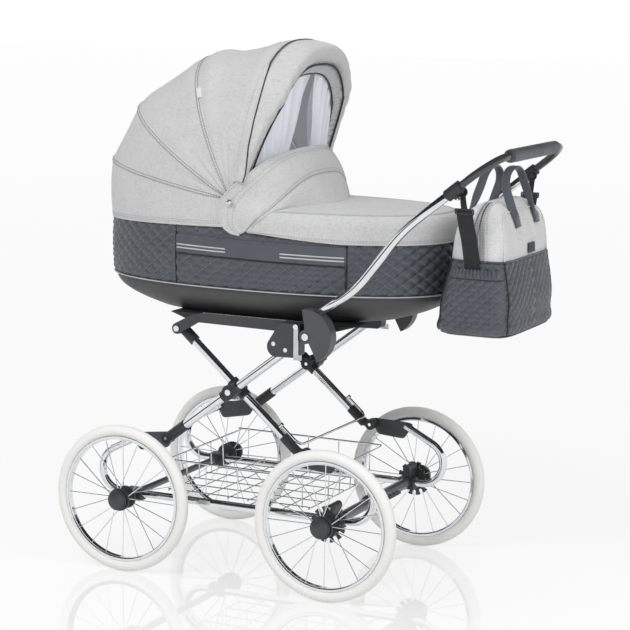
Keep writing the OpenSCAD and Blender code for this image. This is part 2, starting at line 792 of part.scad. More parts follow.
tube_bend = 60;
bore_r = handle_r - 1.2;
module handle_tubes() {
  points = [handle_0, handle_1, handle_2, handle_3];
  color(chrome) for (side = sides) difference() {
    bent(points, side * handle_y, tube_bend, handle_r);
    bent(points, side * handle_y, tube_bend, bore_r);
  }
}

collar_l = 34;
button_r = 4;
collar_r = handle_r + 4;
button_at = ahead(handle_3, handle_slopes[2], -collar_l / 2);
module handle_collars() {
  color(black) for (side = sides) {
    y = side * handle_y;
    difference() {
      union() {
        rod(at(ahead(handle_3, handle_slopes[2], -collar_l), y), at(ahead(handle_3, handle_slopes[2], 5), y), collar_r);
        pin(hook, side, hook_end, handle_y - 4, hook_r);
        pin(hook, side, hook_end, hook_end + hook_cap, hook_r + 2);
        translate(at(button_at, y)) rotate([0, 180 - handle_slopes[2], 0]) cylinder(h = collar_r + 4, r = button_r + 3);
      }
      rod(at(handle_2, y), at(handle_3, y), handle_r + run_fit);
      rod(at(handle_2, y), at(ahead(handle_3, handle_slopes[2], 20), y), bore_r + run_fit);
      translate(at(button_at, y)) rotate([0, 180 - handle_slopes[2], 0]) cylinder(h = 60, r = button_r + run_fit);
    }
  }
}

module height_buttons() {
  stand = 5;
  color(chrome) for (side = sides)
    translate(at(button_at, side * handle_y)) rotate([0, 180 - handle_slopes[2], 0])
      translate([0, 0, handle_r + 3.4]) cylinder(h = collar_r - handle_r + stand, r = button_r);
}

inset = 96;
module handle_bar() {
  color("#5a5c60") translate(at(handle_3, 0)) rotate([0, -handle_slopes[2], 0]) difference() {
    translate([-inset, 0, 0]) u_rod(inset + bar_reach, handle_y, bar_bend, bore_r - run_fit);
    translate([-inset - 1, 0, 0]) u_rod(inset + 1 + bar_reach, handle_y, bar_bend, bore_r - tube_wall - 1);
  }
}

module handle_grip() {
  round_r = 6;
  color(slate) translate(at(handle_3, 0)) rotate([0, -handle_slopes[2], 0]) translate([bar_reach, 0, 0])
    rotate([90, 0, 0]) rotate_extrude() difference() {
      union() {
        translate([0, -grip_len / 2 + round_r]) square([grip_d / 2, grip_len - 2 * round_r]);
        translate([0, -grip_len / 2]) square([grip_d / 2 - round_r, grip_len]);
        for (s = sides) translate([grip_d / 2 - round_r, s * (grip_len / 2 - round_r)]) circle(round_r);
      }
      translate([-1, -grip_len]) square([bore_r + 1, 2 * grip_len]);
    }
}

// Bassinet: moulded tub, padded wall, belt cord, runners and mattress
plan_count = 44;
function plan(grow, z) = oval(basin_x, basin_a + grow, basin_b + grow, z, basin_n, plan_count);
function tub_ring(u, in_by) = let (
    a = basin_a - 118 * pow(max(0, 1 - u), 2.2),
    b = basin_b - 50 * pow(max(0, 1 - u), 2)
  ) oval(basin_x, a - in_by, b - in_by, tub_z + u * tub_h, basin_n, plan_count);
tub_steps = [0, 0.1, 0.3, 0.6, 1];

module tub() {
  color(plastic) difference() {
    loft([for (u = tub_steps) tub_ring(u, 3)]);
    translate([0, 0, tub_t]) loft([for (u = [0, 0.1, 0.3, 0.6, 1.1]) tub_ring(u, 3 + tub_t)]);
  }
}

function wall_bulge(u) = 3.5 * sin(180 * u);
module side_wall() {
  steps = [0, 0.3, 0.6, 1];
  low = belt_z + seat_gap / 3;
  color(slate) difference() {
    loft([for (u = steps) plan(wall_bulge(u) - 1.5, low + u * (wall_z - low))]);
    loft([for (u = [-0.1, 1.1]) plan(-wall_t, low + u * (wall_z - low))]);
  }
}

module belt_cord() {
  cord_r = 2.5;
  ring = plan(0.8, belt_z);
  color(chrome) difference() {
    hoop([for (i = [0:plan_count - 1]) let (
        p = ring[i], q = ring[(i + 1) % plan_count], o = ring[(i + plan_count - 1) % plan_count],
        t = (q - o) / norm(q - o), out = [t[1], -t[0], 0]
      ) [for (k = [0:5]) p + cord_r * (out * cos(60 * k) - [0, 0, sin(60 * k)])]]);
    loft([for (u = [0, 1]) plan(u == 0 ? -2.1 : -0.6, belt_z + (u == 0 ? -2 * cord_r : 2 * cord_r))]);
  }
}

runner_w = 83.7;
runner_out = rail_in - seat_gap - 5;
runner_in = runner_out - runner_w;
module base_runners() {
  z0 = rail_z + ledge_t + seat_gap;
  z1 = z0 + runner_h;
  color(black) for (side = sides) slab(side, runner_in, runner_out)
    polygon([[-176, z1], [-140, z0 + 2], [-128, z0], [236, z0], [250, z0 + 2], [292, z1]]);
}

module mattress() {
  clear = 6;
  z0 = tub_z + tub_t + seat_gap + 8;
  function pad(u, in_by) = tub_ring(0.2 + u, tub_t + 3 + clear + in_by);
  function flat(ring, z) = [for (p = ring) [p[0], p[1], z]];
  color("white") loft([
    flat(pad(0, 14), z0), flat(pad(0, 5), z0 + mattress_h * 0.2), flat(pad(0.05, 4), z0 + mattress_h * 0.5),
    flat(pad(0.05, 8), z0 + mattress_h * 0.78), flat(pad(0, 40), z0 + mattress_h * 0.94),
    flat(pad(0, 110), z0 + mattress_h)
  ]);
}

// Apron over the foot end, with its raised wind flap
apron_hem = wall_z - 34;
apron_top = wall_z + 30;
apron_x = 40;
function apron_ring(u, in_by) = let (
    z = apron_hem + u * (apron_top - apron_hem),
    in = u < 0.62 ? 0 : 14 * pow((u - 0.62) / 0.38, 2)
  ) plan(seat_gap + 2.4 + cloth_t - in - in_by, z - (u > 0.9 ? in_by : 0));

module apron() {
  color(cloth) difference() {
    loft(concat([for (u = [0, 0.3, 0.62, 0.8, 0.92, 1]) apron_ring(u, 0)],
                [for (k = [60, 150]) plan(cloth_t - 12 - k, apron_top + (k > 100 ? 8 : 6))]));
    loft(concat([for (u = [-0.1, 0.3, 0.62, 0.8, 0.92, 1]) apron_ring(u, cloth_t)],
                [for (k = [60, 150]) plan(-12 - k, apron_top - cloth_t + (k > 100 ? 8 : 6))]));
    translate([-2 * basin_a, -basin_a, 0]) cube([2 * basin_a + apron_x, 2 * basin_a, 2 * wall_z]);
  }
}

flap_w = basin_b + seat_gap + 2.4 + cloth_t + seat_gap;
flap_rise = 122;
// Top edge of the flap round half its arch, as [share, x, height over the wall, distance inside its side]
flap_edge = [
  [0, 8, -25, 0], [0.025, -26, -2, 0], [0.05, -35, 24, 0], [0.08, -32, 47, 0], [0.11, -16, 70, 0.5],
  [0.15, 8, 95, 3], [0.2, 31, 115, 10], [0.25, 45, 129, 22], [0.3, 58, 141, 47], [0.35, 76, 151, 78],
  [0.4, 95, 159, 112], [0.45, 114, 164, 160], [0.5, 123, flap_rise + 44, flap_w]
];
function edge(v, k) = lookup(v, [for (row = flap_edge) [row[0], row[k]]]);
function flap_point(v, s, out) = let (
    // v runs round the arch from the near side to the far side, s from the hem to the top edge
    t = 180 * v,
    half = min(v, 1 - v),
    up = pow(sin(t), 0.8),
    foot_z = wall_z - 20 + 64 * pow(sin(t), 0.35),
    foot_x = 40 + 85 * up,
    top_z = wall_z + edge(half, 2),
    top_x = edge(half, 1),
    y = flap_w - edge(half, 3)
  ) [
    foot_x + (top_x - foot_x) * s + (2 + 16 * up) * sin(180 * s),
    (v < 0.5 ? -1 : 1) * (y > 0 ? y + out * (1 - 0.6 * up) : 0),
    foot_z + (top_z - foot_z) * s + out * up
  ];
module apron_flap() {
  half_rows = [for (row = flap_edge) row[0]];
  rows = concat(half_rows, [for (i = [len(half_rows) - 2:-1:0]) 1 - half_rows[i]]);
  cols = [0, 0.33, 0.67, 1];
  color(cloth) sheet([for (v = rows) [for (s = cols) flap_point(v, s, cloth_t)]],
                     [for (v = rows) [for (s = cols) flap_point(v, s, 0)]]);
}

// Hood
function hood_r(a) = lookup(a, [for (i = [0:3]) [seam_angles[i], seam_radii[i]]]);
function hood_sag(a) = let (
    i = a > seam_angles[1] ? 0 : a > seam_angles[2] ? 1 : 2,
    u = (seam_angles[i] - a) / (seam_angles[i] - seam_angles[i + 1])
  ) gore_sags[i] * sin(180 * u);
function hood_e(a) = 2 / lookup(a, [for (i = [0:3]) [seam_angles[i], seam_n[i]]]);
// A point of the hood at seam angle a, t degrees round its arch, in_by inside its outer face
function hood_point(a, t, in_by) = let (
    r = (hood_r(a) - hood_sag(a) - in_by) * power(sin(t), hood_e(a))
  ) [pivot[0] + r * cos(a), -(hood_w - in_by) * power(cos(t), hood_e(a)), pivot[1] + r * sin(a)];
arch_steps = [for (i = [0:24]) 1 + 178 * i / 24];

module gore(k) {
  edge = 0.25;
  a0 = seam_angles[k] - edge;
  a1 = seam_angles[k + 1] + edge;
  rows = [for (i = [0:4]) a0 + (a1 - a0) * i / 4];
  color(cloth) sheet([for (a = rows) [for (t = arch_steps) hood_point(a, t, 0)]],
                     [for (a = rows) [for (t = arch_steps) hood_point(a, t, cloth_t)]]);
}

// Fixed cloth skirt between the hood's first seam and the hem
skirt_hem = wall_z - 8;
module hood_skirt() {
  a0 = seam_angles[0] + 0.25;
  function low(t, in_by) = let (g = seat_gap + 2.4 + cloth_t - in_by) [
    basin_x - (basin_a + g) * power(sin(t), 2 / basin_n),
    -(basin_b + g) * power(cos(t), 2 / basin_n), skirt_hem - 12 * sin(t)
  ];
  function mix(t, in_by, u) = low(t, in_by) * (1 - u) + hood_point(a0, t, in_by) * u;
  function bulge(t, u) = [-6 * sin(t), 0, 0] * sin(180 * u);
  rows = [0, 0.35, 0.7, 1];
  color(cloth) sheet(
    [for (u = rows) [for (t = arch_steps) mix(t, cloth_t, u) + bulge(t, u)]],
    [for (u = rows) [for (t = arch_steps) mix(t, 0, u) + bulge(t, u)]]);
}

// Side brackets with the pins that the bows turn on, inside the hood
bow_t = 4.6;
bow_rod_r = 2;
pin_r = 4;
bow_y = [hood_w - cloth_t - 6, hood_w - cloth_t - 6 - bow_t - seat_gap, hood_w - cloth_t - 6 - 2 * (bow_t + seat_gap)];
bracket_t = 4;
plate_y = bow_y[2] - bow_t / 2 - seat_gap - bracket_t;
cap_y = bow_y[0] + bow_t / 2 + seat_gap;
stud_r = 11;
module hood_brackets() {
  color(plastic) for (side = sides) {
    slab(side, plate_y, plate_y + bracket_t) {
      translate(pivot) circle(13);
      translate([pivot[0] - 13, wall_z - 40]) square([26, pivot[1] - wall_z + 40]);
    }
    slab(side, plate_y + bracket_t - 1, basin_b - wall_t - 1.3)
      translate([pivot[0] - 13, wall_z - 40]) square([26, 34]);
    pin(pivot, side, plate_y + 1, cap_y + 1, pin_r);
    pin(pivot, side, cap_y, hood_w - cloth_t - 1.6 * seat_gap, stud_r);
  }
}

// A sprung steel bow with an eye at each end
module bow(a, r, w) {
  sides_n = 6;
  e = hood_e(a);
  function arch(t) = let (q = (r - 9) * power(sin(t), e))
    [pivot[0] + q * cos(a), -w * power(cos(t), e), pivot[1] + q * sin(a)];
  steps = [for (i = [0:26]) 0.3 + 179.4 * i / 26];
  up = [-sin(a), 0, cos(a)];
  rings = [for (t = steps) let (
      d = arch(min(t + 1, 179.6)) - arch(max(t - 1, 0.4)),
      f = d / norm(d), side = cross(f, up)
    ) [for (i = [0:sides_n - 1]) arch(t) + bow_rod_r * (side * cos(360 * i / sides_n) - up * sin(360 * i / sides_n))]];
  color(chrome) difference() {
    union() {
      loft(rings);
      for (side = sides) pin(pivot, side, w - bow_t / 2, w + bow_t / 2, 12);
    }
    for (side = sides) pin(pivot, side, w - 10, w + 10, pin_r + run_fit);
  }
}

// Padded roll round the front of the hood, its back edge along the last seam
roll_steps = [for (i = [0:24]) 3 + 174 * i / 24];
rim_out = [cos(seam_angles[3]), 0, sin(seam_angles[3])];
rim_along = [sin(seam_angles[3]), 0, -cos(seam_angles[3])];
function roll_fat(t) = min(1, 0.30 + 1.1 * sin(t));
function roll_half_l(t) = roll_fat(t) * roll_l / 2;
function roll_half_t(t) = roll_fat(t) * roll_t / 2 * (0.55 + 0.45 * sin(t));
function roll_arch(t) = let (e = hood_e(seam_angles[3]))
  at(pivot, -(hood_w - roll_t * 0.32) * power(cos(t), e))
  + rim_out * (seam_radii[3] - roll_t / 2 + 4) * power(sin(t), e);
function roll_normal(t) = let (d = roll_arch(t + 1) - roll_arch(t - 1)) cross(rim_along, d / norm(d));

module rim_roll() {
  count = 12;
  soft = 0.7;
  rings = [for (t = roll_steps) [for (i = [0:count - 1]) let (k = 360 * i / count)
      roll_arch(t) + rim_along * (roll_half_l(t) + bow_rod_r + seat_gap)
      + roll_normal(t) * roll_half_t(t) * power(cos(k), soft)
      + rim_along * roll_half_l(t) * power(sin(k), soft)]];
  color(cloth) loft(rings);
}

// Two pleated curtains hang inside the roll, drawn to the sides
module curtains() {
  pleat = hood_w / 40;
  deep = 12;
  thick = 4;
  count = 28;
  start = hood_w * 0.18;
  under = [for (i = [11:-1:2]) let (
      t = roll_steps[i], p = roll_arch(t), n = roll_normal(t),
      way = n * (p - at(pivot, 0)) > 0 ? -1 : 1,
      q = p + way * n * (roll_half_t(t) + seat_gap) - at(pivot, 0)
    ) [-q[1], q * rim_out]];
  outline = concat(under, [[hood_w * 0.838, 105], [hood_w * 0.5, 105], [hood_w * 0.45, 165],
                           [hood_w * 0.38, 220], [hood_w * 0.28, 280]]);
  wave = [for (i = [0:count]) [start + i * pleat, i % 2 == 0 ? 0 : deep]];
  color("white") for (side = sides)
    multmatrix([[0, rim_out[0], rim_along[0], pivot[0]], [side, 0, 0, 0],
                [0, rim_out[2], rim_along[2], pivot[1]], [0, 0, 0, 1]])
      translate([0, 0, 20]) intersection() {
        translate([0, 0, -1]) linear_extrude(deep + thick + 2) polygon(outline);
        rotate([-90, 0, 0]) mirror([0, 1, 0])
          linear_extrude(400) polygon(concat(wave, [for (i = [count:-1:0]) wave[i] + [0, thick]]));
      }
}

// Bag hung from the handle, with its webbing straps and carrying loops
bag_x = hook[0];
bag_z = hook[1] - bag_drop;
bag_n = 6;
hook_r = 4.5;
hook_end = handle_y - handle_r - 13;
hook_cap = 2;
module bag() {
  count = 28;
  function ring(u, fx, fy, shift) = oval(bag_x + shift, bag_d * fx, bag_w * fy, bag_z + u * bag_h, bag_n, count);
  web_t = 2.6;
  eye_y = hook_end + hook_cap + seat_gap;
  eye_t = 6;
  loop_r = 6;
  color(slate) loft([
    ring(0, 0.9, 0.94, 0), ring(0.03, 1, 1, 0), ring(0.25, 1, 1.0, 3), ring(0.55, 0.76, 0.99, 8),
    ring(0.8, 0.62, 0.94, 9), ring(0.93, 0.45, 0.86, 9), ring(1, 0.2, 0.76, 9)
  ]);
  color(black) for (side = sides) {
    difference() {
      union() {
        pin(hook, side, eye_y, eye_y + eye_t, 11);
        loft([for (p = [[bag_w - 1, bag_z + 0.42 * bag_h], [bag_w - 1, bag_z + 0.56 * bag_h],
                        [eye_y + 0.2, hook[1] - 10], [eye_y + 0.8, hook[1]]])
          [for (c = [[-1, 0], [1, 0], [1, 1], [-1, 1]])
            [hook[0] + c[0] * web_w / 2 * (p[1] >= hook[1] - 10 ? 0.7 : 1),
             side * p[0] + (c[1] - (side > 0 ? 0 : 1)) * web_t, p[1]]]]);
      }
      pin(hook, side, 0, track, hook_r + run_fit);
    }
  }
  color(slate) for (dx = [-16, 34]) translate([bag_x + dx, 0, bag_z + 0.84 * bag_h]) rotate([0, -90, 0])
    u_rod(bag_h * 0.42, loop_w, 48, loop_r);
}

wheel_part("tyre", -wheelbase / 2, -1);  // tyre_front_near
wheel_part("tyre", -wheelbase / 2, 1);  // tyre_front_far
wheel_part("tyre", wheelbase / 2, -1);  // tyre_rear_near
wheel_part("tyre", wheelbase / 2, 1);  // tyre_rear_far
wheel_part("rim", -wheelbase / 2, -1);  // rim_front_near
wheel_part("rim", -wheelbase / 2, 1);  // rim_front_far
wheel_part("rim", wheelbase / 2, -1);  // rim_rear_near
wheel_part("rim", wheelbase / 2, 1);  // rim_rear_far
wheel_part("spokes", -wheelbase / 2, -1);  // spokes_front_near
wheel_part("spokes", -wheelbase / 2, 1);  // spokes_front_far
wheel_part("spokes", wheelbase / 2, -1);  // spokes_rear_near
wheel_part("spokes", wheelbase / 2, 1);  // spokes_rear_far
wheel_part("hub", -wheelbase / 2, -1);  // hub_front_near
wheel_part("hub", -wheelbase / 2, 1);  // hub_front_far
wheel_part("hub", wheelbase / 2, -1);  // hub_rear_near
wheel_part("hub", wheelbase / 2, 1);  // hub_rear_far
front_axle();
rear_axle();
spring_rails();
rail_clamps();
front_straps();
rear_straps();
wire_basket();
brake_pin(-1);  // brake_pin_near
brake_pin(1);  // brake_pin_far
brake_pedal();
front_arms();
front_fittings();
hinge_brackets();
front_bolts();
rear_arms();
rear_fittings();
rear_bolts();
stabiliser_bar();
top_rails();
handle_discs();
handle_tubes();
handle_collars();
handle_bar();
handle_grip();
height_buttons();
fold_levers();
tub();
side_wall();
belt_cord();
base_runners();
mattress();
apron();
apron_flap();
hood_skirt();
hood_brackets();
bow(seam_angles[1], seam_radii[1], bow_y[0]);  // hood_bow_2
bow(seam_angles[2], seam_radii[2], bow_y[1]);  // hood_bow_3
bow(seam_angles[3], seam_radii[3], bow_y[2]);  // rim_bow
rim_roll();
gore(0);  // gore_1
gore(1);  // gore_2
gore(2);  // gore_3
curtains();
bag();
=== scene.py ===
import json
import math
import bmesh
import bpy
import numpy as np
from mathutils import Matrix, Vector
from mathutils.bvhtree import BVHTree


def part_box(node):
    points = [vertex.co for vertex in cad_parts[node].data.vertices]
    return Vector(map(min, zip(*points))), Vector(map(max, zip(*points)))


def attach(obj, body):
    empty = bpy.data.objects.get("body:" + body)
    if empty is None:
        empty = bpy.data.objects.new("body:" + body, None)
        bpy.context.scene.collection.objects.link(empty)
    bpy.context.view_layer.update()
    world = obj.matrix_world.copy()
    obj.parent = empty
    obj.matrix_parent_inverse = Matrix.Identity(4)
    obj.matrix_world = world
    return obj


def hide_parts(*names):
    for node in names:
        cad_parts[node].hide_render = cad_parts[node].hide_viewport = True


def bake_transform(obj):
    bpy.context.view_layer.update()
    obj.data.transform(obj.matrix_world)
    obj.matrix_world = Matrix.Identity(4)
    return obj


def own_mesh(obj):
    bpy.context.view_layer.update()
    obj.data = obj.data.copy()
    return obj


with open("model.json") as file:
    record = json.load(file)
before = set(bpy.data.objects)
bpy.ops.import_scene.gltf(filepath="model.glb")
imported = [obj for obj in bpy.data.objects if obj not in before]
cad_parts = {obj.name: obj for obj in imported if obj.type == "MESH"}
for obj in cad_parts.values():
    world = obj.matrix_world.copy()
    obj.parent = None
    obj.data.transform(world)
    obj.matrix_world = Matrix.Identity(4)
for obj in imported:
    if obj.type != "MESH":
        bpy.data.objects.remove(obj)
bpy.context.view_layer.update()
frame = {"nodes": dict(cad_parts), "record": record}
nodes = frame["nodes"]
scene = bpy.context.scene
scene.view_settings.view_transform = "Standard"

# Shapes are written in millimetres and become metres when a mesh is made
MM = 0.001
SIDES = (("near", -1), ("far", 1))

# Bassinet: heights of the tub's foot, the belt and the wall's top, then the tub's own height
TUB_Z, BELT_Z, WALL_Z = 617.7, 685.7, 837.7
TUB_H = 68.0
# Its outline seen from above: the middle, half the length, half the width and the squareness
OUTLINE_X, OUTLINE_A, OUTLINE_B, OUTLINE_POWER = 18.0, 430.0, 220.0, 2.3
# The side panel's two seams, its band (tilt, the place where its edges have these heights) and the quilt's step
PANEL_X = (-154.0, 270.0)
BAND_TILT, BAND_X, BAND_LOW, BAND_HIGH = -0.016, 58.0, 757.0, 800.0
QUILT_W, QUILT_H = 37.5, 26.0

# Hood: the bows' pin and half the width, then one value for each seam from the skirt to the rim, and for each panel
PIVOT_X, PIVOT_Z = -6.0, 889.7
HOOD_W = 222.0
SEAM_ANGLES = [171.0, 150.0, 118.0, 79.0]
SEAM_RADII = [426.0, 398.0, 355.0, 363.0]
SEAM_POWERS = [2.05, 2.1, 2.15, 2.7]
GORE_SAGS = [8.0, 10.0, 24.0]
HOOD_PIN = np.array([PIVOT_X, 0, PIVOT_Z])
# The rim's plane, outward and forward, and the padded roll's middle line in it
RIM_ANGLE, RIM_POWER = SEAM_ANGLES[3], SEAM_POWERS[3]
RIM_OUT = np.array([math.cos(math.radians(RIM_ANGLE)), 0, math.sin(math.radians(RIM_ANGLE))])
RIM_ALONG = np.array([math.sin(math.radians(RIM_ANGLE)), 0, -math.cos(math.radians(RIM_ANGLE))])
ROLL_REACH, ROLL_W, ROLL_BACK = 344.0, 207.3, 2.3

# Middle plane of the leather straps; then the bag: its place and size, where its quilting ends, the quilt's
# shares of the wall's step, and the angle of its corners
STRAP_Y = 207
BAG_X, BAG_Z, BAG_H, BAG_W, BAG_D = 555.3, 613.7, 290.0, 151.0, 86.0
BAG_SPLIT = 0.575
BAG_QUILT = (0.7, 0.88)
BAG_CORNER = np.pi / 4


# ---- camera

def place_camera():
    """The photograph's viewpoint: its frame is 630 pixels wide and its lens 2072.515 pixels long."""
    data = bpy.data.cameras.new("pram_camera")
    data.sensor_width = 36.0
    data.lens = 2072.515 * 36.0 / 630.0
    data.clip_end = 60.0
    camera = bpy.data.objects.new("pram_camera", data)
    scene.collection.objects.link(camera)
    right = (0.90075614, 0.4340984, 0.01403419)
    up = (-0.08254987, 0.13938887, 0.98679089)
    ahead = (-0.42640813, 0.89001647, -0.16139015)
    spot = (2.186105, -4.347134, 1.392093)
    camera.matrix_world = Matrix([[right[i], up[i], -ahead[i], spot[i]] for i in range(3)] + [[0, 0, 0, 1]])
    scene.camera = camera


place_camera()


# ---- shader building

def put(tree, kind, inputs=None, **settings):
    """Adds a node; a socket among the inputs is linked, anything else is set as its value."""
    node = tree.nodes.new(kind)
    for name, value in settings.items():
        setattr(node, name, value)
    for key, value in (inputs or {}).items():
        if isinstance(value, bpy.types.NodeSocket):
            tree.links.new(value, node.inputs[key])
        else:
            node.inputs[key].default_value = value
    return node


def sums(tree, operation, a, b=0.0, c=0.0):
    """One step of arithmetic on sockets or numbers."""
    return put(tree, "ShaderNodeMath", {0: a, 1: b, 2: c}, operation=operation).outputs[0]


def tint(tree, share, a, b):
    """Colour a with a share of colour b mixed in."""
    return put(tree, "ShaderNodeMix", {0: share, 6: a, 7: b}, data_type="RGBA").outputs[2]


def spread(tree, value, low, high, to_low=0.0, to_high=1.0):
    """A value's range low to high spread over another range, and held at its ends."""
    node = put(tree, "ShaderNodeMapRange", {0: value, 1: low, 2: high, 3: to_low, 4: to_high})
    return node.outputs[0]


def stretched(tree, scale):
    """Object coordinates times a scale of its own along each axis."""
    where = put(tree, "ShaderNodeTexCoord").outputs["Object"]
    return put(tree, "ShaderNodeVectorMath", {0: where, 1: scale}, operation="MULTIPLY").outputs[0]


def mottle(tree, scale, fine=3.0, rough=0.55):
    """Soft noise, its grain set along each axis."""
    return put(tree, "ShaderNodeTexNoise", {"Vector": stretched(tree, scale), "Scale": 1.0, "Detail": fine,
                                            "Roughness": rough}).outputs["Fac"]


def shader_group(name, inputs, outputs):
    """An empty node group with its sockets, and its two end nodes."""
    group = bpy.data.node_groups.new(name, "ShaderNodeTree")
    for kind, label, value in inputs:
        group.interface.new_socket(name=label, in_out="INPUT", socket_type="NodeSocket" + kind).default_value = value
    for kind, label in outputs:
        group.interface.new_socket(name=label, in_out="OUTPUT", socket_type="NodeSocket" + kind)
    return group, group.nodes.new("NodeGroupInput"), group.nodes.new("NodeGroupOutput")


def weave_group():
    """Plain weave of a flecked yarn, with the threads' height."""
    group, given, out = shader_group(
        "melange_weave",
        [("Color", "Yarn", (0.6, 0.6, 0.6, 1)), ("Color", "Fleck", (0.4, 0.4, 0.4, 1)),
         ("Float", "Fleck share", 0.5), ("Float", "Threads", 1200.0)],
        [("Color", "Color"), ("Float", "Height")])
    warp = mottle(group, (620.0, 620.0, 90.0))
    weft = mottle(group, (95.0, 95.0, 700.0))
    patch = mottle(group, (14.0, 14.0, 14.0), 2.0)
    fleck = sums(group, "MAXIMUM", warp, weft)
    fleck = sums(group, "MULTIPLY", spread(group, fleck, 0.5, 0.74), given.outputs["Fleck share"])
    fleck = sums(group, "ADD", fleck, spread(group, patch, 0.35, 0.7, -0.05, 0.06))
    group.links.new(tint(group, sums(group, "MAXIMUM", fleck, 0.0), given.outputs["Yarn"], given.outputs["Fleck"]),
                    out.inputs["Color"])
    where = put(group, "ShaderNodeTexCoord").outputs["Object"]
    turns = sums(group, "MULTIPLY", given.outputs["Threads"], 3.14159)
    grown = put(group, "ShaderNodeVectorMath", {0: where, 3: turns}, operation="SCALE").outputs[0]
    axes = put(group, "ShaderNodeSeparateXYZ", {0: grown})
    waves = [sums(group, "SINE", axes.outputs[i]) for i in range(3)]
    across = sums(group, "ADD", waves[0], waves[1])
    height = sums(group, "MULTIPLY_ADD", across, waves[2], sums(group, "MULTIPLY", warp, 0.8))
    group.links.new(height, out.inputs["Height"])
    return group


def grain_group():
    """Pebbled skin of leather and leatherette: colour in the creases, gloss and height."""
    group, given, out = shader_group(
        "leather_grain",
        [("Color", "Skin", (0.1, 0.1, 0.1, 1)), ("Color", "Crease", (0.05, 0.05, 0.05, 1)),
         ("Float", "Pebbles", 420.0), ("Float", "Sheen low", 0.35), ("Float", "Sheen high", 0.55)],
        [("Color", "Color"), ("Float", "Roughness"), ("Float", "Height")])
    where = put(group, "ShaderNodeTexCoord").outputs["Object"]
    cells = put(group, "ShaderNodeTexVoronoi", {"Vector": where, "Scale": given.outputs["Pebbles"]},
                feature="DISTANCE_TO_EDGE").outputs["Distance"]
    crease = spread(group, cells, 0.0, 0.22, 1.0, 0.0)
    soil = mottle(group, (22.0, 22.0, 22.0))
    share = sums(group, "MULTIPLY_ADD", crease, 0.55, spread(group, soil, 0.4, 0.7, 0.0, 0.35))
    group.links.new(tint(group, share, given.outputs["Skin"], given.outputs["Crease"]), out.inputs["Color"])
    sheen = spread(group, soil, 0.3, 0.7, given.outputs["Sheen low"], given.outputs["Sheen high"])
    group.links.new(sheen, out.inputs["Roughness"])
    group.links.new(sums(group, "SUBTRACT", 1.0, crease), out.inputs["Height"])
    return group


def moulding_group():
    """Fine spark-eroded grain of moulded plastic, with a little settled dust in its colour."""
    group, given, out = shader_group(
        "moulded_grain",
        [("Color", "Plastic", (0.05, 0.05, 0.05, 1)), ("Color", "Dust", (0.2, 0.2, 0.2, 1)),
         ("Float", "Gloss low", 0.4), ("Float", "Gloss high", 0.6)],
        [("Color", "Color"), ("Float", "Roughness"), ("Float", "Height")])
    fine = mottle(group, (1500.0, 1500.0, 1500.0), 2.0)
    broad = mottle(group, (18.0, 18.0, 18.0), 4.0)
    normal = put(group, "ShaderNodeNewGeometry").outputs["Normal"]
    upward = put(group, "ShaderNodeSeparateXYZ", {0: normal}).outputs[2]
    lying = sums(group, "MULTIPLY", spread(group, upward, 0.35, 1.0), spread(group, broad, 0.4, 0.75, 0.0, 0.22))
    settled = sums(group, "MULTIPLY_ADD", fine, 0.1, lying)
    group.links.new(tint(group, settled, given.outputs["Plastic"], given.outputs["Dust"]), out.inputs["Color"])
    gloss = spread(group, broad, 0.3, 0.7, given.outputs["Gloss low"], given.outputs["Gloss high"])
    group.links.new(gloss, out.inputs["Roughness"])
    group.links.new(fine, out.inputs["Height"])
    return group


def polish_group():
    """Handling smears and fine polishing lines on bright metal and paint."""
    group, given, out = shader_group(
        "polish_smears",
        [("Color", "Metal", (0.8, 0.8, 0.8, 1)), ("Color", "Smear", (0.7, 0.7, 0.7, 1)),
         ("Float", "Clean", 0.06), ("Float", "Smeared", 0.2)],
        [("Color", "Color"), ("Float", "Roughness"), ("Float", "Height")])
    broad = mottle(group, (26.0, 26.0, 26.0), 5.0, 0.65)
    lines = mottle(group, (900.0, 60.0, 900.0), 2.0)
    smear = spread(group, broad, 0.45, 0.75)
    group.links.new(tint(group, smear, given.outputs["Metal"], given.outputs["Smear"]), out.inputs["Color"])
    worn = sums(group, "MULTIPLY_ADD", lines, 0.25, smear)
    gloss = spread(group, worn, 0.0, 1.0, given.outputs["Clean"], given.outputs["Smeared"])
    group.links.new(gloss, out.inputs["Roughness"])
    group.links.new(lines, out.inputs["Height"])
    return group


def quilt_group():
    """Sewing lines of a diamond quilt laid out in metres on the piece's map: thread dashes, and a painted shade that
    darkens towards the sewing lines' grooves.
    """
    group, given, out = shader_group(
        "quilt_sewing",
        [("Float", "Wide", 0.038), ("Float", "High", 0.027)],
        [("Float", "Thread"), ("Float", "Groove shade")])
    cut = put(group, "ShaderNodeSeparateXYZ", {0: put(group, "ShaderNodeTexCoord").outputs["UV"]})
    along = sums(group, "DIVIDE", cut.outputs[0], given.outputs["Wide"])
    height = sums(group, "DIVIDE", cut.outputs[1], given.outputs["High"])
    lines = [sums(group, "ADD", along, height), sums(group, "SUBTRACT", along, height)]
    thread, groove_shade = 0.0, 0.0
    for i in range(2):
        place = sums(group, "FRACT", sums(group, "ADD", lines[i], 64.5))
        near = sums(group, "ABSOLUTE", sums(group, "SUBTRACT", place, 0.5))
        step = sums(group, "FRACT", sums(group, "MULTIPLY_ADD", lines[1 - i], 6.0, 384.0))
        dash = sums(group, "LESS_THAN", step, 0.76)
        one = sums(group, "MULTIPLY", sums(group, "LESS_THAN", near, 0.038), dash)
        thread = one if i == 0 else sums(group, "MAXIMUM", thread, one)
        # Painted shade: full on each sewing line, fading out at 0.12 of a step from it.
        deep = spread(group, near, 0.0, 0.12, 1.0, 0.0)
        groove_shade = deep if i == 0 else sums(group, "MAXIMUM", groove_shade, deep)
    group.links.new(thread, out.inputs["Thread"])
    group.links.new(groove_shade, out.inputs["Groove shade"])
    return group


WEAVE, GRAIN, MOULDING, POLISH, QUILT = weave_group(), grain_group(), moulding_group(), polish_group(), quilt_group()


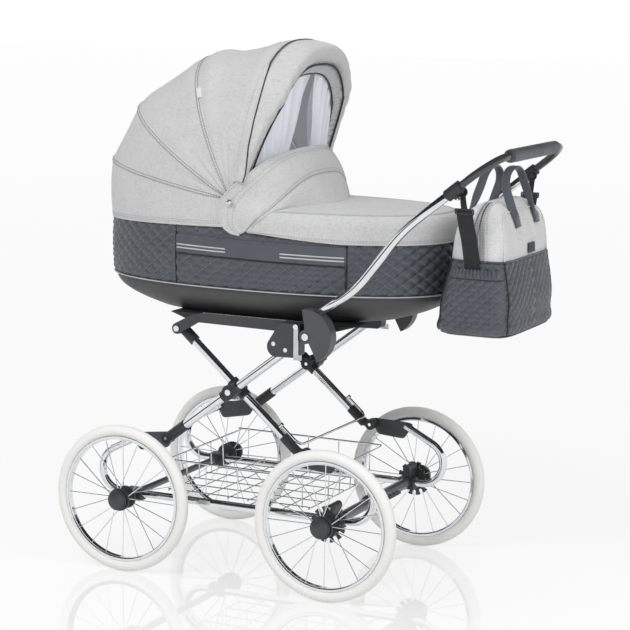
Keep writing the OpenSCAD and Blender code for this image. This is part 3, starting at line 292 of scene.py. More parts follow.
def finish_of(name, group, values, height=0.0003, strength=0.4, **plain):
    """A material whose colour, gloss and relief come from one of the groups; plain values go on the shader."""
    material = bpy.data.materials.new(name)
    material.use_nodes = True
    tree = material.node_tree
    shader = tree.nodes["Principled BSDF"]
    effect = put(tree, "ShaderNodeGroup", node_tree=group)
    for label, value in values.items():
        effect.inputs[label].default_value = (*value, 1.0) if isinstance(value, tuple) else value
    tree.links.new(effect.outputs["Color"], shader.inputs["Base Color"])
    if "Roughness" in effect.outputs:
        tree.links.new(effect.outputs["Roughness"], shader.inputs["Roughness"])
    bump = put(tree, "ShaderNodeBump", {"Strength": strength, "Distance": height, "Height": effect.outputs["Height"]})
    tree.links.new(bump.outputs["Normal"], shader.inputs["Normal"])
    for label, value in plain.items():
        shader.inputs[label.replace("_", " ")].default_value = value
    return material


def cloth_finish(name, yarn, fleck, share=0.5, threads=1200.0, **plain):
    """Woven cloth of a flecked yarn."""
    plain = {"Roughness": 0.9, "Sheen_Weight": 0.25, "Sheen_Roughness": 0.5, **plain}
    return finish_of(name, WEAVE, {"Yarn": yarn, "Fleck": fleck, "Fleck share": share, "Threads": threads},
                     0.00035, 0.35, **plain)


def leather_finish(name, skin, crease, pebbles=420.0, low=0.36, high=0.52):
    """Leather or leatherette."""
    return finish_of(name, GRAIN, {"Skin": skin, "Crease": crease, "Pebbles": pebbles, "Sheen low": low,
                                   "Sheen high": high}, 0.0003, 0.35)


def plastic_finish(name, plastic, dust, low=0.4, high=0.55):
    """Moulded plastic or rubber."""
    return finish_of(name, MOULDING, {"Plastic": plastic, "Dust": dust, "Gloss low": low, "Gloss high": high},
                     0.00012, 0.25)


def metal_finish(name, metal, smear, clean=0.05, smeared=0.16, **plain):
    """Polished or painted metal."""
    return finish_of(name, POLISH, {"Metal": metal, "Smear": smear, "Clean": clean, "Smeared": smeared}, 0.00003, 0.1,
                     **{"Metallic": 1.0, **plain})


def quilted_finish():
    """Leatherette with the quilt's sewing drawn on it, and painted shade along its sewing lines."""
    material = leather_finish("slate_quilt", (0.098, 0.108, 0.126), (0.062, 0.068, 0.082), 520.0, 0.3, 0.42)
    tree = material.node_tree
    shader = tree.nodes["Principled BSDF"]
    sewing = put(tree, "ShaderNodeGroup", node_tree=QUILT)
    skin = shader.inputs["Base Color"].links[0].from_socket
    # Painted shade: the skin darkens towards the quilt's sewing lines.
    shaded = tint(tree, sums(tree, "MULTIPLY", sewing.outputs["Groove shade"], 0.6), skin, (0.045, 0.05, 0.06, 1.0))
    sewn = tint(tree, sums(tree, "MULTIPLY", sewing.outputs["Thread"], 0.7), shaded, (0.18, 0.192, 0.215, 1.0))
    tree.links.new(sewn, shader.inputs["Base Color"])
    return material


def painted_glow(material, strength):
    """Painted light: the cloth's own colour glows a little, standing in for daylight passing through thin cloth."""
    shader = material.node_tree.nodes["Principled BSDF"]
    material.node_tree.links.new(shader.inputs["Base Color"].links[0].from_socket, shader.inputs["Emission Color"])
    shader.inputs["Emission Strength"].default_value = strength
    return material


def voile_finish():
    """Sheer curtain cloth with painted fold shading: it is denser in stripes in step with its folds, and sheerer
    between them.
    """
    material = cloth_finish("sheer_cloth", (0.88, 0.89, 0.94), (0.8, 0.81, 0.88), 0.4, 1600.0)
    tree = material.node_tree
    fold = put(tree, "ShaderNodeSeparateXYZ", {0: put(tree, "ShaderNodeTexCoord").outputs["UV"]}).outputs[0]
    # Painted fold shading: opacity highest along the fold ridges, lowest between them.
    fold_shade_opacity = spread(tree, sums(tree, "SINE", sums(tree, "MULTIPLY", fold, 2 * math.pi)), -1.0, 1.0, 0.66, 0.95)
    holes = spread(tree, mottle(tree, (900.0, 900.0, 900.0), 1.0), 0.3, 0.7, -0.05, 0.05)
    tree.links.new(sums(tree, "ADD", fold_shade_opacity, holes), tree.nodes["Principled BSDF"].inputs["Alpha"])
    return painted_glow(material, 0.1)


FINISH = {
    "tyre_ivory": plastic_finish("tyre_ivory", (0.955, 0.95, 0.93), (0.88, 0.87, 0.845), 0.5, 0.65),
    "chrome": metal_finish("chrome", (0.78, 0.79, 0.81), (0.7, 0.71, 0.73)),
    "hub_plastic": plastic_finish("hub_plastic", (0.045, 0.046, 0.049), (0.12, 0.12, 0.12), 0.3, 0.45),
    "axle_paint": metal_finish("axle_paint", (0.09, 0.093, 0.1), (0.12, 0.122, 0.13), 0.3, 0.42,
                               Metallic=0.4, Coat_Weight=0.3),
    "fitting_plastic": plastic_finish("fitting_plastic", (0.028, 0.029, 0.032), (0.1, 0.1, 0.1), 0.36, 0.5),
    "bracket_plastic": plastic_finish("bracket_plastic", (0.048, 0.052, 0.06), (0.12, 0.125, 0.135), 0.34, 0.48),
    "disc_plastic": plastic_finish("disc_plastic", (0.075, 0.076, 0.08), (0.16, 0.16, 0.16), 0.36, 0.5),
    "rail_plastic": plastic_finish("rail_plastic", (0.05, 0.051, 0.055), (0.14, 0.14, 0.14), 0.36, 0.5),
    "strap_leather": leather_finish("strap_leather", (0.075, 0.08, 0.088), (0.04, 0.042, 0.047), 480.0),
    "lever_steel": metal_finish("lever_steel", (0.62, 0.63, 0.65), (0.55, 0.56, 0.58), 0.16, 0.3),
    "bar_paint": metal_finish("bar_paint", (0.07, 0.071, 0.076), (0.09, 0.091, 0.097), 0.25, 0.38,
                              Metallic=0.5, Coat_Weight=0.4),
    "grip_leather": leather_finish("grip_leather", (0.088, 0.094, 0.106), (0.05, 0.053, 0.06), 560.0),
    "tub_plastic": plastic_finish("tub_plastic", (0.074, 0.074, 0.076), (0.12, 0.12, 0.12), 0.5, 0.62),
    "slate_quilt": quilted_finish(),
    "cord_silver": leather_finish("cord_silver", (0.62, 0.63, 0.65), (0.42, 0.43, 0.45), 700.0, 0.24, 0.36),
    "melange_cloth": cloth_finish("melange_cloth", (0.65, 0.65, 0.652), (0.38, 0.38, 0.385), 0.6),
    "mattress_cloth": cloth_finish("mattress_cloth", (0.8, 0.8, 0.78), (0.7, 0.7, 0.68), 0.3),
    "sheer_cloth": voile_finish(),
    "bag_cloth": cloth_finish("bag_cloth", (0.74, 0.74, 0.742), (0.47, 0.47, 0.475), 0.55),
}
# The lining's glow is painted light: it brightens the shaded inner faces of the hood, the cloth covers and the wall.
LINING = painted_glow(cloth_finish("hood_lining", (0.56, 0.57, 0.59), (0.46, 0.47, 0.49), 0.35), 0.2)
THREAD = cloth_finish("grey_thread", (0.26, 0.26, 0.265), (0.2, 0.2, 0.205), 0.3, 3000.0)
SEAM_THREAD = cloth_finish("seam_thread", (0.13, 0.13, 0.135), (0.1, 0.1, 0.105), 0.3, 3000.0)
DARK_THREAD = cloth_finish("dark_thread", (0.24, 0.24, 0.25), (0.18, 0.18, 0.19), 0.3, 3000.0)
BLACK_TAPE = cloth_finish("black_tape", (0.022, 0.022, 0.025), (0.05, 0.05, 0.055), 0.4, 1500.0)
WEBBING = cloth_finish("webbing", (0.016, 0.0165, 0.019), (0.042, 0.043, 0.048), 0.5, 700.0)
SMOOTH_BAND = leather_finish("slate_band", (0.098, 0.108, 0.126), (0.07, 0.077, 0.09), 620.0, 0.32, 0.44)
WHITE_TAG = cloth_finish("blank_tag", (0.8, 0.8, 0.8), (0.7, 0.7, 0.7), 0.3, 2000.0)

for part in frame["record"]["subparts"]:
    mesh = nodes[part["node"]].data
    mesh.materials.clear()
    mesh.materials.append(FINISH[part["material_slot"]])


# ---- mesh building

def power(value, exponent):
    """A power that keeps the sign."""
    return np.sign(value) * np.abs(value) ** exponent


def unit(v):
    """Vectors brought to length 1."""
    return v / np.maximum(np.linalg.norm(v, axis=-1, keepdims=True), 1e-9)


def smooth_table(rows, count):
    """Rows of numbers, the first column the place, read at count even places on a smooth curve."""
    rows = np.asarray(rows, float)
    x = rows[:, 0]
    wanted = np.linspace(x[0], x[-1], count)
    slope = np.gradient(rows, x, axis=0)
    i = np.clip(np.searchsorted(x, wanted) - 1, 0, len(x) - 2)
    step = (x[i + 1] - x[i])[:, None]
    u = ((wanted - x[i])[:, None]) / step
    return ((2 * u ** 3 - 3 * u ** 2 + 1) * rows[i] + (u ** 3 - 2 * u ** 2 + u) * step * slope[i]
            + (3 * u ** 2 - 2 * u ** 3) * rows[i + 1] + (u ** 3 - u ** 2) * step * slope[i + 1])


def lengths(path):
    """Distance along a path at each of its points."""
    return np.concatenate([[0.0], np.cumsum(np.linalg.norm(np.diff(path, axis=0), axis=1))])


def even(path, count):
    """The path again, with its points at even steps."""
    path = np.asarray(path, float)
    s = lengths(path)
    wanted = np.linspace(0.0, s[-1], count)
    return np.stack([np.interp(wanted, s, path[:, k]) for k in range(path.shape[1])], axis=1)


def curve_through(points, count):
    """A smooth path through a few points."""
    points = np.asarray(points, float)
    table = np.column_stack([lengths(points), points])
    return smooth_table(table, count)[:, 1:]


def quads(rows, cols, close_rows=False, close_cols=False):
    """Four-cornered faces between the points of a grid, joined up round a closed way."""
    r = np.arange(rows if close_rows else rows - 1)
    c = np.arange(cols if close_cols else cols - 1)
    r, c = (k.ravel() for k in np.meshgrid(r, c, indexing="ij"))
    r2, c2 = (r + 1) % rows, (c + 1) % cols
    return np.stack([r * cols + c, r * cols + c2, r2 * cols + c2, r2 * cols + c], axis=1)


def make(name, points, faces, finish, body=None, maps=None):
    """A smooth-shaded mesh object; maps gives each point its place on the piece's flat map, in metres."""
    mesh = bpy.data.meshes.new(name)
    points = np.asarray(points, float).reshape(-1, 3) * MM
    mesh.from_pydata(points.tolist(), [], [list(map(int, f)) for f in faces])
    mesh.polygons.foreach_set("use_smooth", [True] * len(mesh.polygons))
    if maps is not None:
        corners = np.zeros(len(mesh.loops), np.int32)
        mesh.loops.foreach_get("vertex_index", corners)
        layer = mesh.uv_layers.new(name="flat_map")
        layer.data.foreach_set("uv", np.asarray(maps, float).reshape(-1, 2)[corners].ravel())
    mesh.materials.append(finish)
    mesh.update()
    obj = bpy.data.objects.new(name, mesh)
    scene.collection.objects.link(obj)
    if body:
        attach(obj, body)
    return obj


def outward(grid, centre):
    """Unit normals of a grid of points, turned away from a centre."""
    n = unit(np.cross(np.gradient(grid, axis=1), np.gradient(grid, axis=0)))
    return -n if np.sum(n * (grid - np.asarray(centre, float))) < 0 else n


def cloth_shell(name, grid, thick, finish, body, centre, maps=None, lining=None):
    """A sheet of cloth with its own thickness, from a grid of points on its outer face."""
    grid = np.asarray(grid, float)
    rows, cols = grid.shape[:2]
    n = outward(grid, centre)
    inner = grid - n * thick
    faces = quads(rows, cols)
    sample = faces[len(faces) // 2]
    flat = grid.reshape(-1, 3)
    turn = np.cross(flat[sample[1]] - flat[sample[0]], flat[sample[3]] - flat[sample[0]])
    if np.dot(turn, n.reshape(-1, 3)[sample[0]]) < 0:
        faces = faces[:, ::-1]
    size = rows * cols
    top, left = np.arange(cols), np.arange(rows) * cols
    edges = []
    for line, way in ((top, 1), (top + (rows - 1) * cols, -1), (left, -1), (left + cols - 1, 1)):
        edges.append(np.stack([line[:-1], line[1:], line[1:] + size, line[:-1] + size], axis=1)[:, ::way])
    edges = np.concatenate(edges)
    points = np.concatenate([flat, inner.reshape(-1, 3)])
    both = None if maps is None else np.concatenate([np.asarray(maps, float).reshape(-1, 2)] * 2)
    obj = make(name, points, np.concatenate([faces, faces[:, ::-1] + size, edges]), finish, None, both)
    if lining:
        obj.data.materials.append(lining)
        marks = np.zeros(len(obj.data.polygons), np.int32)
        marks[len(faces):2 * len(faces)] = 1
        obj.data.polygons.foreach_set("material_index", marks)
    mend_normals(obj)
    if body:
        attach(obj, body)
    return obj


def mend_normals(obj):
    """Turns all faces of a mesh outward."""
    work = bmesh.new()
    work.from_mesh(obj.data)
    bmesh.ops.recalc_face_normals(work, faces=work.faces)
    work.to_mesh(obj.data)
    work.free()


def frames_along(path, closed=False, up=None):
    """Sideways and lifting directions at each point of a path; without up they turn as little as they can."""
    path = np.asarray(path, float)
    if closed:
        ahead = unit(np.roll(path, -1, axis=0) - np.roll(path, 1, axis=0))
    else:
        ahead = unit(np.gradient(path, axis=0))
    if up is not None:
        up = np.broadcast_to(np.asarray(up, float), path.shape)
        side = unit(np.cross(ahead, up))
        return side, unit(np.cross(side, ahead))
    side = np.zeros_like(path)
    seed = np.array([0.0, 0.0, 1.0]) if abs(ahead[0][2]) < 0.9 else np.array([1.0, 0.0, 0.0])
    current = np.cross(ahead[0], seed)
    for i, a in enumerate(ahead):
        current = current - a * np.dot(current, a)
        current = current / np.linalg.norm(current)
        side[i] = current
    return side, np.cross(side, ahead)


def sweep(name, path, wide, finish, body, deep, sides, closed=False, up=None, square=1.0):
    """A tube or flat band along a path; wide and deep are full sizes, square below 1 makes the section boxy."""
    path = np.asarray(path, float)
    side, lift = frames_along(path, closed, up)
    angle = np.linspace(0, 2 * np.pi, sides, endpoint=False)
    wide = np.broadcast_to(np.asarray(wide, float), (len(path),))[:, None, None] / 2
    deep = np.broadcast_to(np.asarray(deep, float), (len(path),))[:, None, None] / 2
    ring = (path[:, None] + side[:, None] * wide * power(np.cos(angle), square)[None, :, None]
            + lift[:, None] * deep * power(np.sin(angle), square)[None, :, None])
    faces = [tuple(f) for f in quads(len(path), sides, closed, True)]
    points = ring.reshape(-1, 3)
    if not closed:
        points = np.concatenate([points, path[:1], path[-1:]])
        last = (len(path) - 1) * sides
        for k in range(sides):
            faces.append(((k + 1) % sides, k, len(points) - 2))
            faces.append((last + k, last + (k + 1) % sides, len(points) - 1))
    obj = make(name, points, faces, finish)
    mend_normals(obj)
    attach(obj, body)
    return obj


def stitch_rows(name, lines, finish, body=None, length=4.4, gap=2.2, thick=0.9):
    """Rows of sewn stitches, each a small spindle of thread along the lines."""
    angle = np.linspace(0, 2 * np.pi, 5, endpoint=False)
    share = np.array([0.0, 0.2, 0.5, 0.8, 1.0])
    fat = np.array([0.25, 0.85, 1.0, 0.85, 0.25])
    points, faces = [], []
    base = quads(len(share), 5, False, True)
    for line in lines:
        line = np.asarray(line, float)
        s = lengths(line)
        count = max(1, int(s[-1] // (length + gap)))
        starts = np.arange(count) * s[-1] / count
        for start in starts:
            at = start + share * length
            middle = np.stack([np.interp(at, s, line[:, k]) for k in range(3)], axis=1)
            ahead = middle[-1] - middle[0]
            size = np.linalg.norm(ahead)
            if size < 1e-6:
                continue
            ahead = ahead / size
            side = np.cross(ahead, (0.3, 0.2, 0.93))
            side = side / np.linalg.norm(side)
            lift = np.cross(side, ahead)
            ring = middle[:, None] + (fat[:, None, None] * thick / 2
                                      * (side * np.cos(angle)[:, None] + lift * np.sin(angle)[:, None])[None])
            faces.append(base + len(points) * 25)
            points.append(ring.reshape(-1, 3))
    return make(name, np.concatenate(points), np.concatenate(faces), finish, body)


def settle(obj):
    """Applies the object's modifiers to its mesh."""
    seen = obj.evaluated_get(bpy.context.evaluated_depsgraph_get())
    mesh = bpy.data.meshes.new_from_object(seen)
    obj.modifiers.clear()
    obj.data = mesh


def coordinates(obj):
    """Places of a mesh's points, in metres."""
    co = np.zeros(len(obj.data.vertices) * 3, np.float32)
    obj.data.vertices.foreach_get("co", co)
    return co.reshape(-1, 3).astype(float)


def filled_pad(obj, finish, voxel, cap, pressure=4.0, start_in=0.004, steps=20):
    """A stuffed piece: the object's form, remeshed evenly and swollen by a cloth simulation, within a cap."""
    even_mesh = obj.modifiers.new("even_mesh", "REMESH")
    even_mesh.mode = "VOXEL"
    even_mesh.voxel_size = voxel
    settle(obj)
    first = coordinates(obj)
    n = np.zeros(len(obj.data.vertices) * 3, np.float32)
    obj.data.vertices.foreach_get("normal", n)
    shrunk = first - n.reshape(-1, 3) * start_in
    obj.data.vertices.foreach_set("co", shrunk.astype(np.float32).ravel())
    fill = obj.modifiers.new("filling", "CLOTH")
    fill.settings.quality = 4
    fill.settings.mass = 0.25
    fill.settings.use_pressure = True
    fill.settings.uniform_pressure_force = pressure
    fill.settings.tension_stiffness = 12
    fill.settings.compression_stiffness = 12
    fill.settings.bending_stiffness = 0.4
    fill.settings.effector_weights.gravity = 0.0
    fill.point_cache.frame_start, fill.point_cache.frame_end = 1, steps
    for step in range(1, steps + 1):
        scene.frame_set(step)
    settle(obj)
    moved = coordinates(obj) - shrunk
    far = np.linalg.norm(moved, axis=1, keepdims=True)
    shrunk = shrunk + moved * np.minimum(1.0, cap / np.maximum(far, 1e-9))
    obj.data.vertices.foreach_set("co", shrunk.astype(np.float32).ravel())
    scene.frame_set(1)
    obj.data.materials.clear()
    obj.data.materials.append(finish)
    obj.data.polygons.foreach_set("use_smooth", [True] * len(obj.data.polygons))
    obj.data.update()
    return obj


def declare_sheet(grid):
    """Turns a cloth piece's grid into metres; nothing further is done with it."""
    grid = np.asarray(grid, float) * MM


# ---- bassinet

def plan(angle, grow, a=OUTLINE_A, b=OUTLINE_B):
    """The bassinet's outline seen from above, grown outward all round."""
    e = 2 / OUTLINE_POWER
    return OUTLINE_X + (a + grow) * power(np.cos(angle), e), (b + grow) * power(np.sin(angle), e)


def even_angles(count, low=-np.pi, high=np.pi, grow=0.0, closed=True):
    """Angles that step evenly along the bassinet's outline, and the outline's length."""
    t = np.linspace(low, high, 6001)
    s = lengths(np.column_stack(plan(t, grow)))
    return np.interp(np.linspace(0, s[-1], count, endpoint=not closed), s, t), s[-1]


def build_tub():
    """The moulded tub under the belt: a bowed outer face, a rolled lip and an open inside."""
    t, _ = even_angles(220)

    def ring(u, inset, z, shrink=1.0):
        a = (OUTLINE_A - 118 * (1 - u) ** 2.2 - 3 - inset) * shrink
        b = (OUTLINE_B - 50 * (1 - u) ** 2 - 3 - inset) * shrink
        x, y = plan(t, 0.0, a, b)
        return np.column_stack([x, y, np.full_like(x, z)])

    rows = [ring(0, 0, TUB_Z, k) for k in (0.002, 0.5, 0.86, 0.95)]
    rows += [ring(0.012, 0, TUB_Z + 0.6)]
    rows += [ring(u, 0.0, TUB_Z + TUB_H * u) for u in np.linspace(0.03, 0.93, 26)]
    lip = ((0.95, -0.6), (0.965, -0.9), (0.985, -0.8), (0.998, 0.0), (1.0, 1.6))
    rows += [ring(u, k, TUB_Z + TUB_H * u) for u, k in lip]
    rows += [ring(u, 4.0, TUB_Z + TUB_H * u) for u in np.linspace(0.99, 0.08, 12)]
    rows += [ring(0.06, 4.0, TUB_Z + 4.2, k) for k in (0.97, 0.5, 0.002)]
    tub = make("moulded_tub", np.array(rows), quads(len(rows), len(t), False, True), FINISH["tub_plastic"])
    mend_normals(tub)
    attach(tub, "bassinet")
    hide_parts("tub")


def pillow(along, height, size=1.0, tall=1.0):
    """How far the quilt's diamonds swell, 0 on the sewing lines and 1 at their middles."""
    along, height = along / QUILT_W / size, height / QUILT_H / tall
    p, q = along + height, along - height
    return np.abs(np.sin(np.pi * p) * np.sin(np.pi * q)) ** 0.5


def band_level(level, x):
    """Height of a line along the side band, which falls a little towards the handle."""
    return level + BAND_TILT * (x - BAND_X)


def on_wall(xs, zs, side, out):
    """Points on the wall's outer face at given places along one side, out in front of it."""
    angle = np.arccos(np.clip(power((np.asarray(xs) - OUTLINE_X) / OUTLINE_A, OUTLINE_POWER / 2), -1, 1)) * side
    zs = np.broadcast_to(np.asarray(zs, float), np.shape(xs))
    grown = 3.5 * np.sin(np.pi * (zs - BELT_Z) / (WALL_Z - BELT_Z)) - 1.5 + out
    px, py = plan(angle, grown)
    return np.column_stack([px, py, zs])


def build_side_wall():
    """The padded wall: diamond quilting, a plain band with grooves above and below it, and a seam at each end."""
    count, rows = 760, 58
    quilt_rise, band_rise = 6.4, 2.6
    t, total = even_angles(count)
    along = np.linspace(0, total, count, endpoint=False)
    along = along - along[np.argmin(np.abs(t + np.pi / 2))]
    x0 = plan(t, 0.0)[0]
    u = np.linspace(0, 1, rows)[:, None]
    z = BELT_Z + 1.2 + (WALL_Z - BELT_Z - 1.2) * u
    mid = (x0 > PANEL_X[0]) & (x0 < PANEL_X[1])
    low, high = band_level(BAND_LOW, x0), band_level(BAND_HIGH, x0)
    inside = np.clip(np.minimum(z - low, high - z) / 3.0, 0, 1) * mid
    covered = np.clip((z - np.where(x0 > 30, 806, 822)) / 8.0, 0, 1)
    seams = sum(np.exp(-((x0 - s) / 3.6) ** 2) for s in PANEL_X)
    grooves = (np.exp(-((z - low + 1.5) / 3.0) ** 2) + np.exp(-((z - high - 1.5) / 3.0) ** 2)) * mid
    puff = quilt_rise * pillow(along[None], z - BELT_Z) * (1 - inside) * (1 - 0.85 * covered)
    puff = puff * np.clip((z - BELT_Z - 1) / 5.0, 0.1, 1) * (1 - seams) * (1 - 0.9 * np.clip(grooves, 0, 1))
    band = band_rise * inside - 1.2 * grooves
    grow = 3.5 * np.sin(np.pi * u) - 1.5 + puff + band - 1.8 * seams * (1 - covered)
    angle = np.broadcast_to(t, grow.shape)
    x, y = plan(angle, grow)
    outer = np.stack([x, y, np.broadcast_to(z, grow.shape)], axis=-1)
    top = []
    for k in np.linspace(0.15, 1, 5):
        xk, yk = plan(t, grow[-1] * (1 - k) - 10 * k)
        top.append(np.column_stack([xk, yk, np.full(count, WALL_Z + 1.2 * np.sin(np.pi * k))]))
    inner = []
    for k in np.linspace(0, 1, 10):
        xk, yk = plan(t, -10.0 - 1.5 * np.sin(np.pi * k))
        inner.append(np.column_stack([xk, yk, np.full(count, WALL_Z - (WALL_Z - BELT_Z - 1.2) * k)]))
    grid = np.concatenate([outer, np.array(top), np.array(inner)])
    flat_u = np.broadcast_to(along, (len(grid), count)) * MM
    flat_v = np.concatenate([np.broadcast_to(z - BELT_Z, (rows, count)), np.full((15, count), 160.0)]) * MM
    faces = quads(len(grid), count, True, True)
    wall = make("quilted_wall", grid, faces, FINISH["slate_quilt"], None, np.stack([flat_u, flat_v], axis=-1))
    wall.data.materials.append(SMOOTH_BAND)
    wall.data.materials.append(LINING)
    r, c = faces[:, 0] // count, faces[:, 0] % count
    plain = (r < rows - 1) & (inside[np.minimum(r, rows - 1), c] > 0.5)
    marks = np.where(r >= rows - 1, 2, plain.astype(int))
    wall.data.polygons.foreach_set("material_index", marks.astype(np.int32))
    mend_normals(wall)
    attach(wall, "bassinet")
    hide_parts("side_wall")
    build_wall_trim()


def build_wall_trim():
    """Bright strips, piping and sewing on the side wall, and the belt's cord; the piping under the band also paints the
    shadow line there.
    """
    trims, sewing = [], []
    for word, side in SIDES:
        for x_low, x_high in ((-148.0, -18.0), (118.0, 264.0)):
            for level in (768.5, 776.0):
                xs = np.linspace(x_low, x_high, 40)
                trims.append(on_wall(xs, band_level(level, xs), side, 2.7))
        xs = np.linspace(PANEL_X[0] + 4, PANEL_X[1] - 4, 90)
        # Black piping in the groove under the band; it also paints the dark shadow line below the band's lower edge.
        line = on_wall(xs, band_level(755.4, xs), side, 1.2)
        sweep("band_edge_shadow_piping_" + word, line, 2.6, BLACK_TAPE, "bassinet", 2.6, 8)
        for level in (759.5, 797.5):
            sewing.append(on_wall(xs, band_level(level, xs), side, 2.9))
        for edge, step in ((PANEL_X[0], -4.5), (PANEL_X[1], 4.5)):
            zs = np.linspace(BELT_Z + 6, 815, 50)
            sewing.append(on_wall(np.full(50, edge + step), zs, side, 1.6))
    for i, line in enumerate(trims):
        sweep(f"bright_strip_{i + 1}", line, 3.4, FINISH["cord_silver"], "bassinet", 1.6, 8,
              up=(0, 1, 0), square=0.6)
    stitch_rows("wall_stitching", sewing, DARK_THREAD, "bassinet")
    for i, (edge, side) in enumerate([(e, s) for e in PANEL_X for s in (-1, 1)]):
        line = on_wall(np.full(40, edge), np.linspace(BELT_Z + 3, 818, 40), side, 0.4)
        sweep(f"panel_piping_{i + 1}", line, 2.6, BLACK_TAPE, "bassinet", 2.6, 8)

    cord_t, _ = even_angles(300)
    belt, bright = (np.column_stack([*plan(cord_t, grow), np.full(300, BELT_Z)]) for grow in (0.8, 3.2))
    cord = sweep("belt_piping", belt, 5.4, SMOOTH_BAND, "bassinet", 5.4, 12, closed=True)
    sweep("belt_bright_line", bright, 2.6, FINISH["cord_silver"], "bassinet", 2.6, 8, closed=True)
    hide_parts("belt_cord")


# Lines of the apron from its hem to its middle: number, height and distance outside the bassinet's outline
APRON_ROWS = [
    (0, 803.7, 6.9), (1, 806, 7.6), (2, 811, 7.2), (3, 824, 6.9), (4, 838, 6.9), (5, 846, 6.2), (6, 852.5, 4.7),
    (7, 857.5, 2.4), (8, 861.5, -0.4), (9, 864.4, -3.8), (10, 866.4, -7.8), (11, 867.8, -12.5), (12, 869, -19),
    (13, 870.6, -30), (14, 872.6, -48), (15, 874.4, -75), (16, 875.7, -110), (17, 876.3, -150), (18, 876.5, -190),
    (19, 876.5, -219.5)
]


def apron_grid(rows, cols):
    """The apron's outer face: hem round the wall, a rounded shoulder and a slack top."""
    table = smooth_table(APRON_ROWS, rows)
    grid = np.zeros((rows, cols, 3))
    for i, (_, z, grow) in enumerate(table):
        limit = math.acos((22.0 / (OUTLINE_A + grow)) ** (OUTLINE_POWER / 2))
        t, _ = even_angles(cols, -limit, limit, grow, False)
        x, y = plan(t, grow)
        grid[i] = np.column_stack([x, y, np.full(cols, z)])
    round_it = np.linspace(0, 1, cols)
    over = np.clip((table[:, 0] - 2) / 8, 0, 1)[:, None]
    folds = (0.9 * np.sin(34 * round_it + 1.1) + 0.7 * np.sin(71 * round_it + 2.3) * np.sin(9 * round_it))[None]
    rest = np.clip((table[:, 0] - 11) / 6, 0, 1)[:, None]
    rise = 15.0 * np.clip((270 - grid[:1, :, 0]) / 210, 0, 1) ** 1.3
    grid[:, :, 2] += rise * np.clip((5 - table[:, 0]) / 5, 0, 1)[:, None]
    grid[:, :, 2] += folds * np.sin(np.pi * over) * 0.8 - 3.5 * rest * np.sin(np.pi * round_it)[None] ** 2
    return grid


def build_apron():
    """The cloth cover over the foot end, with its hem, shoulder seam and sewing."""
    grid = apron_grid(64, 220)
    apron = cloth_shell("apron_cover", grid, 3.2, FINISH["melange_cloth"], "bassinet", (150, 0, 760), lining=LINING)
    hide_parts("apron")
    declare_sheet(grid)
    line = smooth_table(APRON_ROWS, 64)
    hem = [grid[np.argmin(np.abs(line[:, 1] - z) + (line[:, 0] > 6) * 99)] for z in (808.5, 812.5)]
    out = [h + unit(np.column_stack([h[:, 0] - 100, h[:, 1] * 2.2, 0 * h[:, 0]])) * 0.45 for h in hem]
    shoulder = [grid[np.argmin(np.abs(line[:, 0] - k))] + (0, 0, 0.5) for k in (10.4, 11.6)]
    stitch_rows("apron_stitching", out + shoulder, THREAD, "bassinet")
    ridge = grid[np.argmin(np.abs(line[:, 0] - 11))] + (0, 0, 0.2)
    sweep("apron_shoulder_seam", ridge, 3.0, FINISH["melange_cloth"], "bassinet", 2.0, 8)
    sweep("apron_hem_roll", grid[0] + (0, 0, 0.6), 3.6, FINISH["melange_cloth"], "bassinet", 3.6, 8)


# Half of the flap's arch: share of the arch, then x, height over the wall and distance inside the side
# for its top edge, its sewn seam and its foot
FLAP_TOP = [
    (0, 19, -26, 0), (0.012, 3, -24, 0), (0.024, -12, -18, 0), (0.036, -24, -7, 0), (0.05, -31, 9, 0),
    (0.066, -33, 28, 0), (0.086, -29, 49, 0), (0.115, -14, 69, 0.5), (0.15, 6, 88, 3), (0.2, 32, 108, 10),
    (0.25, 48, 126, 27), (0.3, 59, 141, 58), (0.35, 71, 152, 100), (0.4, 85, 160, 143), (0.45, 99, 164.5, 186),
    (0.5, 105, 166, 227)
]
FLAP_SEAM = [
    (0, 34, -18, 0), (0.025, 44, -8, 0), (0.05, 55, 3, 0), (0.08, 68, 15, 0.6), (0.11, 79, 25, 7), (0.15, 88, 37, 30),
    (0.2, 100, 54, 52), (0.26, 110, 70, 77), (0.32, 117, 85, 107), (0.41, 124, 100, 167), (0.5, 126, 103, 227)
]
FLAP_FOOT = [
    (0, 40, -19, 0), (0.025, 50, -9, 0.2), (0.05, 61, 1, 0.6), (0.08, 74, 12, 2.5), (0.11, 84, 22, 9),
    (0.15, 92, 31, 27), (0.2, 102, 33, 47), (0.26, 117, 35, 77), (0.33, 134, 36, 115), (0.41, 150, 35.5, 157),
    (0.5, 158, 34, 227)
]
FLAP_Y = 227.2


def flap_line(table, count):
    """One line of the flap right round its arch, from the near side to the far side."""
    half = smooth_table(table, count)
    y = FLAP_Y - half[:, 3]
    near = np.column_stack([half[:, 1], -y, WALL_Z + half[:, 2]])
    far = near[::-1] * (1, -1, 1)
    return even(np.concatenate([near, far[1:]]), 2 * count - 1)


